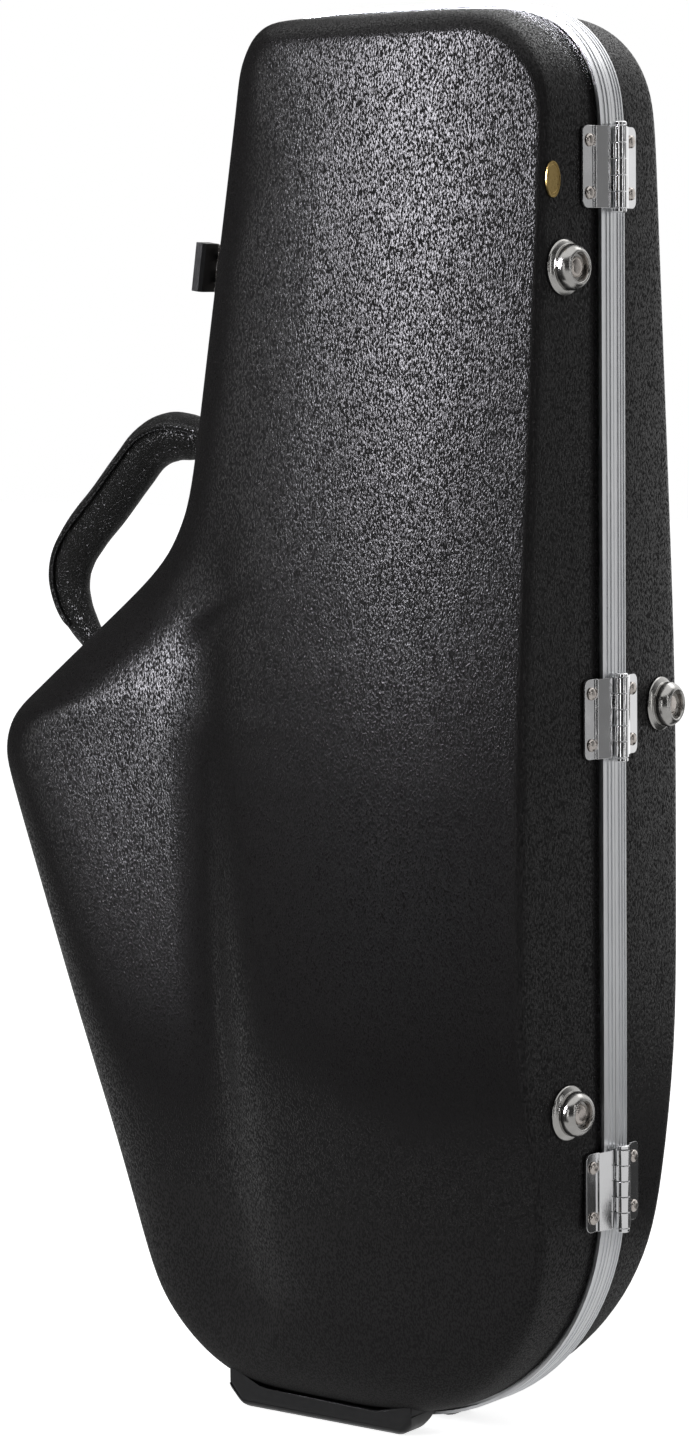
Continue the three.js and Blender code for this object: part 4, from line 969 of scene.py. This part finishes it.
# Places along the seam are counted in the knots of the grip's route
seam_turn = -0.95
welt_radius = 0.0014
welt_start = 1.6
welt_step = 0.4
welt_knots = 27
welt_points = [grip_skin(welt_start + welt_step * step, seam_turn, lift=0) for step in range(welt_knots)]
welt_sizes = (0.5, *[1.0] * (welt_knots - 2), 0.5)
welt = route_curve("grip_welt", welt_points, welt_sizes, radius=welt_radius)
dress(welt, "handle", grip_hide, "grip_leather", smooth=60)

thread_radius = 0.0003
stitch_turn = 0.2
stitch_start = 2.0
stitch_step = 0.16
stitch_length = 0.105
stitch_count = 62
stitch_bow = ((0, -0.0001), (0.5, 0.00015), (1, -0.0001))
stitches = empty_curve("grip_stitches")
for row in (-1, 1):
    for step in range(stitch_count):
        share = stitch_start + stitch_step * step
        line = stitches.data.splines.new("POLY")
        line.points.add(2)
        for knot, (part, lift) in zip(line.points, stitch_bow):
            spot = grip_skin(share + stitch_length * part, seam_turn + row * stitch_turn, lift)
            knot.co = (*spot, 1)
stitches.data.dimensions = "3D"
stitches.data.bevel_depth = thread_radius
stitches.data.bevel_resolution = 2
stitches.data.use_fill_caps = True
pick(stitches)
bpy.ops.object.convert(target="MESH")
dress(bpy.context.object, "handle", thread, "grip_leather", smooth=60)

handle_pin_rings = (
    (2.5, -10.6), (3.0, -10.4), (3.2, -10.0), (3.2, -9.6), (2.0, -9.6),
    (2.0, 9.6), (3.2, 9.6), (3.2, 10.0), (3.0, 10.4), (2.5, 10.6),
)
bracket_easing = 0.0003
for name, pin in (("upper", upper_pin), ("lower", lower_pin)):
    bracket = eased_copy("handle_" + name + "_bracket", name + "_handle_mount", bracket_easing)
    dress(bracket, "base", hard_black, "hard_black", "handle_" + name + "_bracket", smooth=35)
    shaft = put(turned(name + "_handle_shaft", handle_pin_rings, 28), pin_place(pin))
    dress(shaft, "base", chrome, "bright_metal", "handle_" + name + "_pin", smooth=35)

# Stand
# One moulded block under each half, shaped to its shell, that the closed case stands upright on.
# The frame's blocks are copied, raised at both top ends, rounded over at their low corners and round
# their outer face, and eased along every other edge.

# Places along X are from the hinge wall's rim
block_knees = ((-0.2, 0.007), (-0.193, 0), (-0.099, 0), (-0.092, 0.007))
knee_reach = 0.0002
knee_radius = 0.0042
end_left = -0.194
end_right = -0.0925
end_height = 0.0085
end_rise = 0.003
face_reach = 0.0299
face_left = -0.1999
face_right = -0.0921
face_height = 0.0115
face_radius = 0.0014
block_easing = 0.0005
block_angle = math.radians(25)


def top_end(spot):
    return spot.z > end_height and not end_left < spot.x - rim_x < end_right


def knee_line(spot):
    return any(math.dist((spot.x - rim_x, spot.z), knee) < knee_reach for knee in block_knees)


def outer_line(spot):
    low_or_end = spot.z < face_height or not face_left < spot.x - rim_x < face_right
    return abs(spot.y) > face_reach and low_or_end


for side in ("lid", "base"):
    block = copy_of_node(side + "_stand", side + "_stand_block")
    join_flats(block)
    edit(block, top_end)
    bpy.ops.transform.translate(value=(0, 0, end_rise))
    leave_edit()
    edit(block, knee_line, "EDGE")
    bpy.ops.mesh.bevel(offset=knee_radius, segments=6)
    leave_edit()
    edit(block, outer_line, "EDGE")
    bpy.ops.mesh.bevel(offset=face_radius, segments=4)
    leave_edit()
    modify(block, "BEVEL", width=block_easing, segments=2, limit_method="ANGLE", angle_limit=block_angle)
    dress(block, side, hard_black, "hard_black", side + "_stand", smooth=35)

# Padding
# A foam bed with hollows for the instrument fills the base, and a thinner padded skin lines the lid, both
# in short black plush. The bed is remeshed and softened and the liner smoothed, and plush glued into the
# base shell closes the hollows that go through the bed.

lining_lift = 0.0014
lining_thickness = 0.0008
lining_facing = -0.02
lining_front = 0.004
bed_cell = 0.0036
bed_softening = 0.6
bed_passes = 6
nap_share = 0.8
pile_foot = 0.6
pile_tip = 1.2
plush, tree, shader = new_material("black_plush", (0.02, 0.021, 0.026), rough=0.95)
shader.inputs["Sheen Weight"].default_value = 0.35
shader.inputs["Sheen Roughness"].default_value = 0.4
pile = noise(tree, stretched_place(tree), scale=1800, detail=2)
nap = noise(tree, stretched_place(tree), scale=28, detail=3)
pile_and_nap = math_node(tree, "MULTIPLY_ADD", nap, nap_share, pile)
raised = ramp(tree, pile_and_nap, pile_foot, pile_tip, 0, 1)
# The plush is coloured darker where its pile and nap noise is low: painted shade in the low pile.
shaded_deep_and_raised = ((0.01, 0.0105, 0.013), (0.036, 0.038, 0.046))
tree.links.new(blend(tree, raised, *shaded_deep_and_raised), shader.inputs["Base Color"])
bump(tree, shader, pile, depth=0.0008)

lining = copy_of_node("base_shell", "plush_lining")
edit(lining, lambda spot, normal: normal.y > lining_facing or spot.y < lining_front, "FACE")
bpy.ops.mesh.delete(type="FACE")
bpy.ops.mesh.select_all(action="SELECT")
bpy.ops.mesh.tris_convert_to_quads(face_threshold=facet_turn, shape_threshold=facet_skew)
bpy.ops.transform.shrink_fatten(value=lining_lift)
leave_edit()
modify(lining, "SUBSURF", levels=2, render_levels=2)
modify(lining, "SOLIDIFY", thickness=lining_thickness, offset=-1)
dress(lining, "base", plush, "plush")

bed = copy_of_node("base_bed", "plush_bed")
modify(bed, "REMESH", mode="VOXEL", voxel_size=bed_cell, use_smooth_shade=True)
modify(bed, "SMOOTH", factor=bed_softening, iterations=bed_passes)
dress(bed, "base", plush, "plush", "base_bed")

liner = copy_of_node("lid_liner", "plush_liner")
join_facets(liner)
modify(liner, "SUBSURF", levels=2, render_levels=2)
dress(liner, "lid", plush, "plush", "lid_liner")
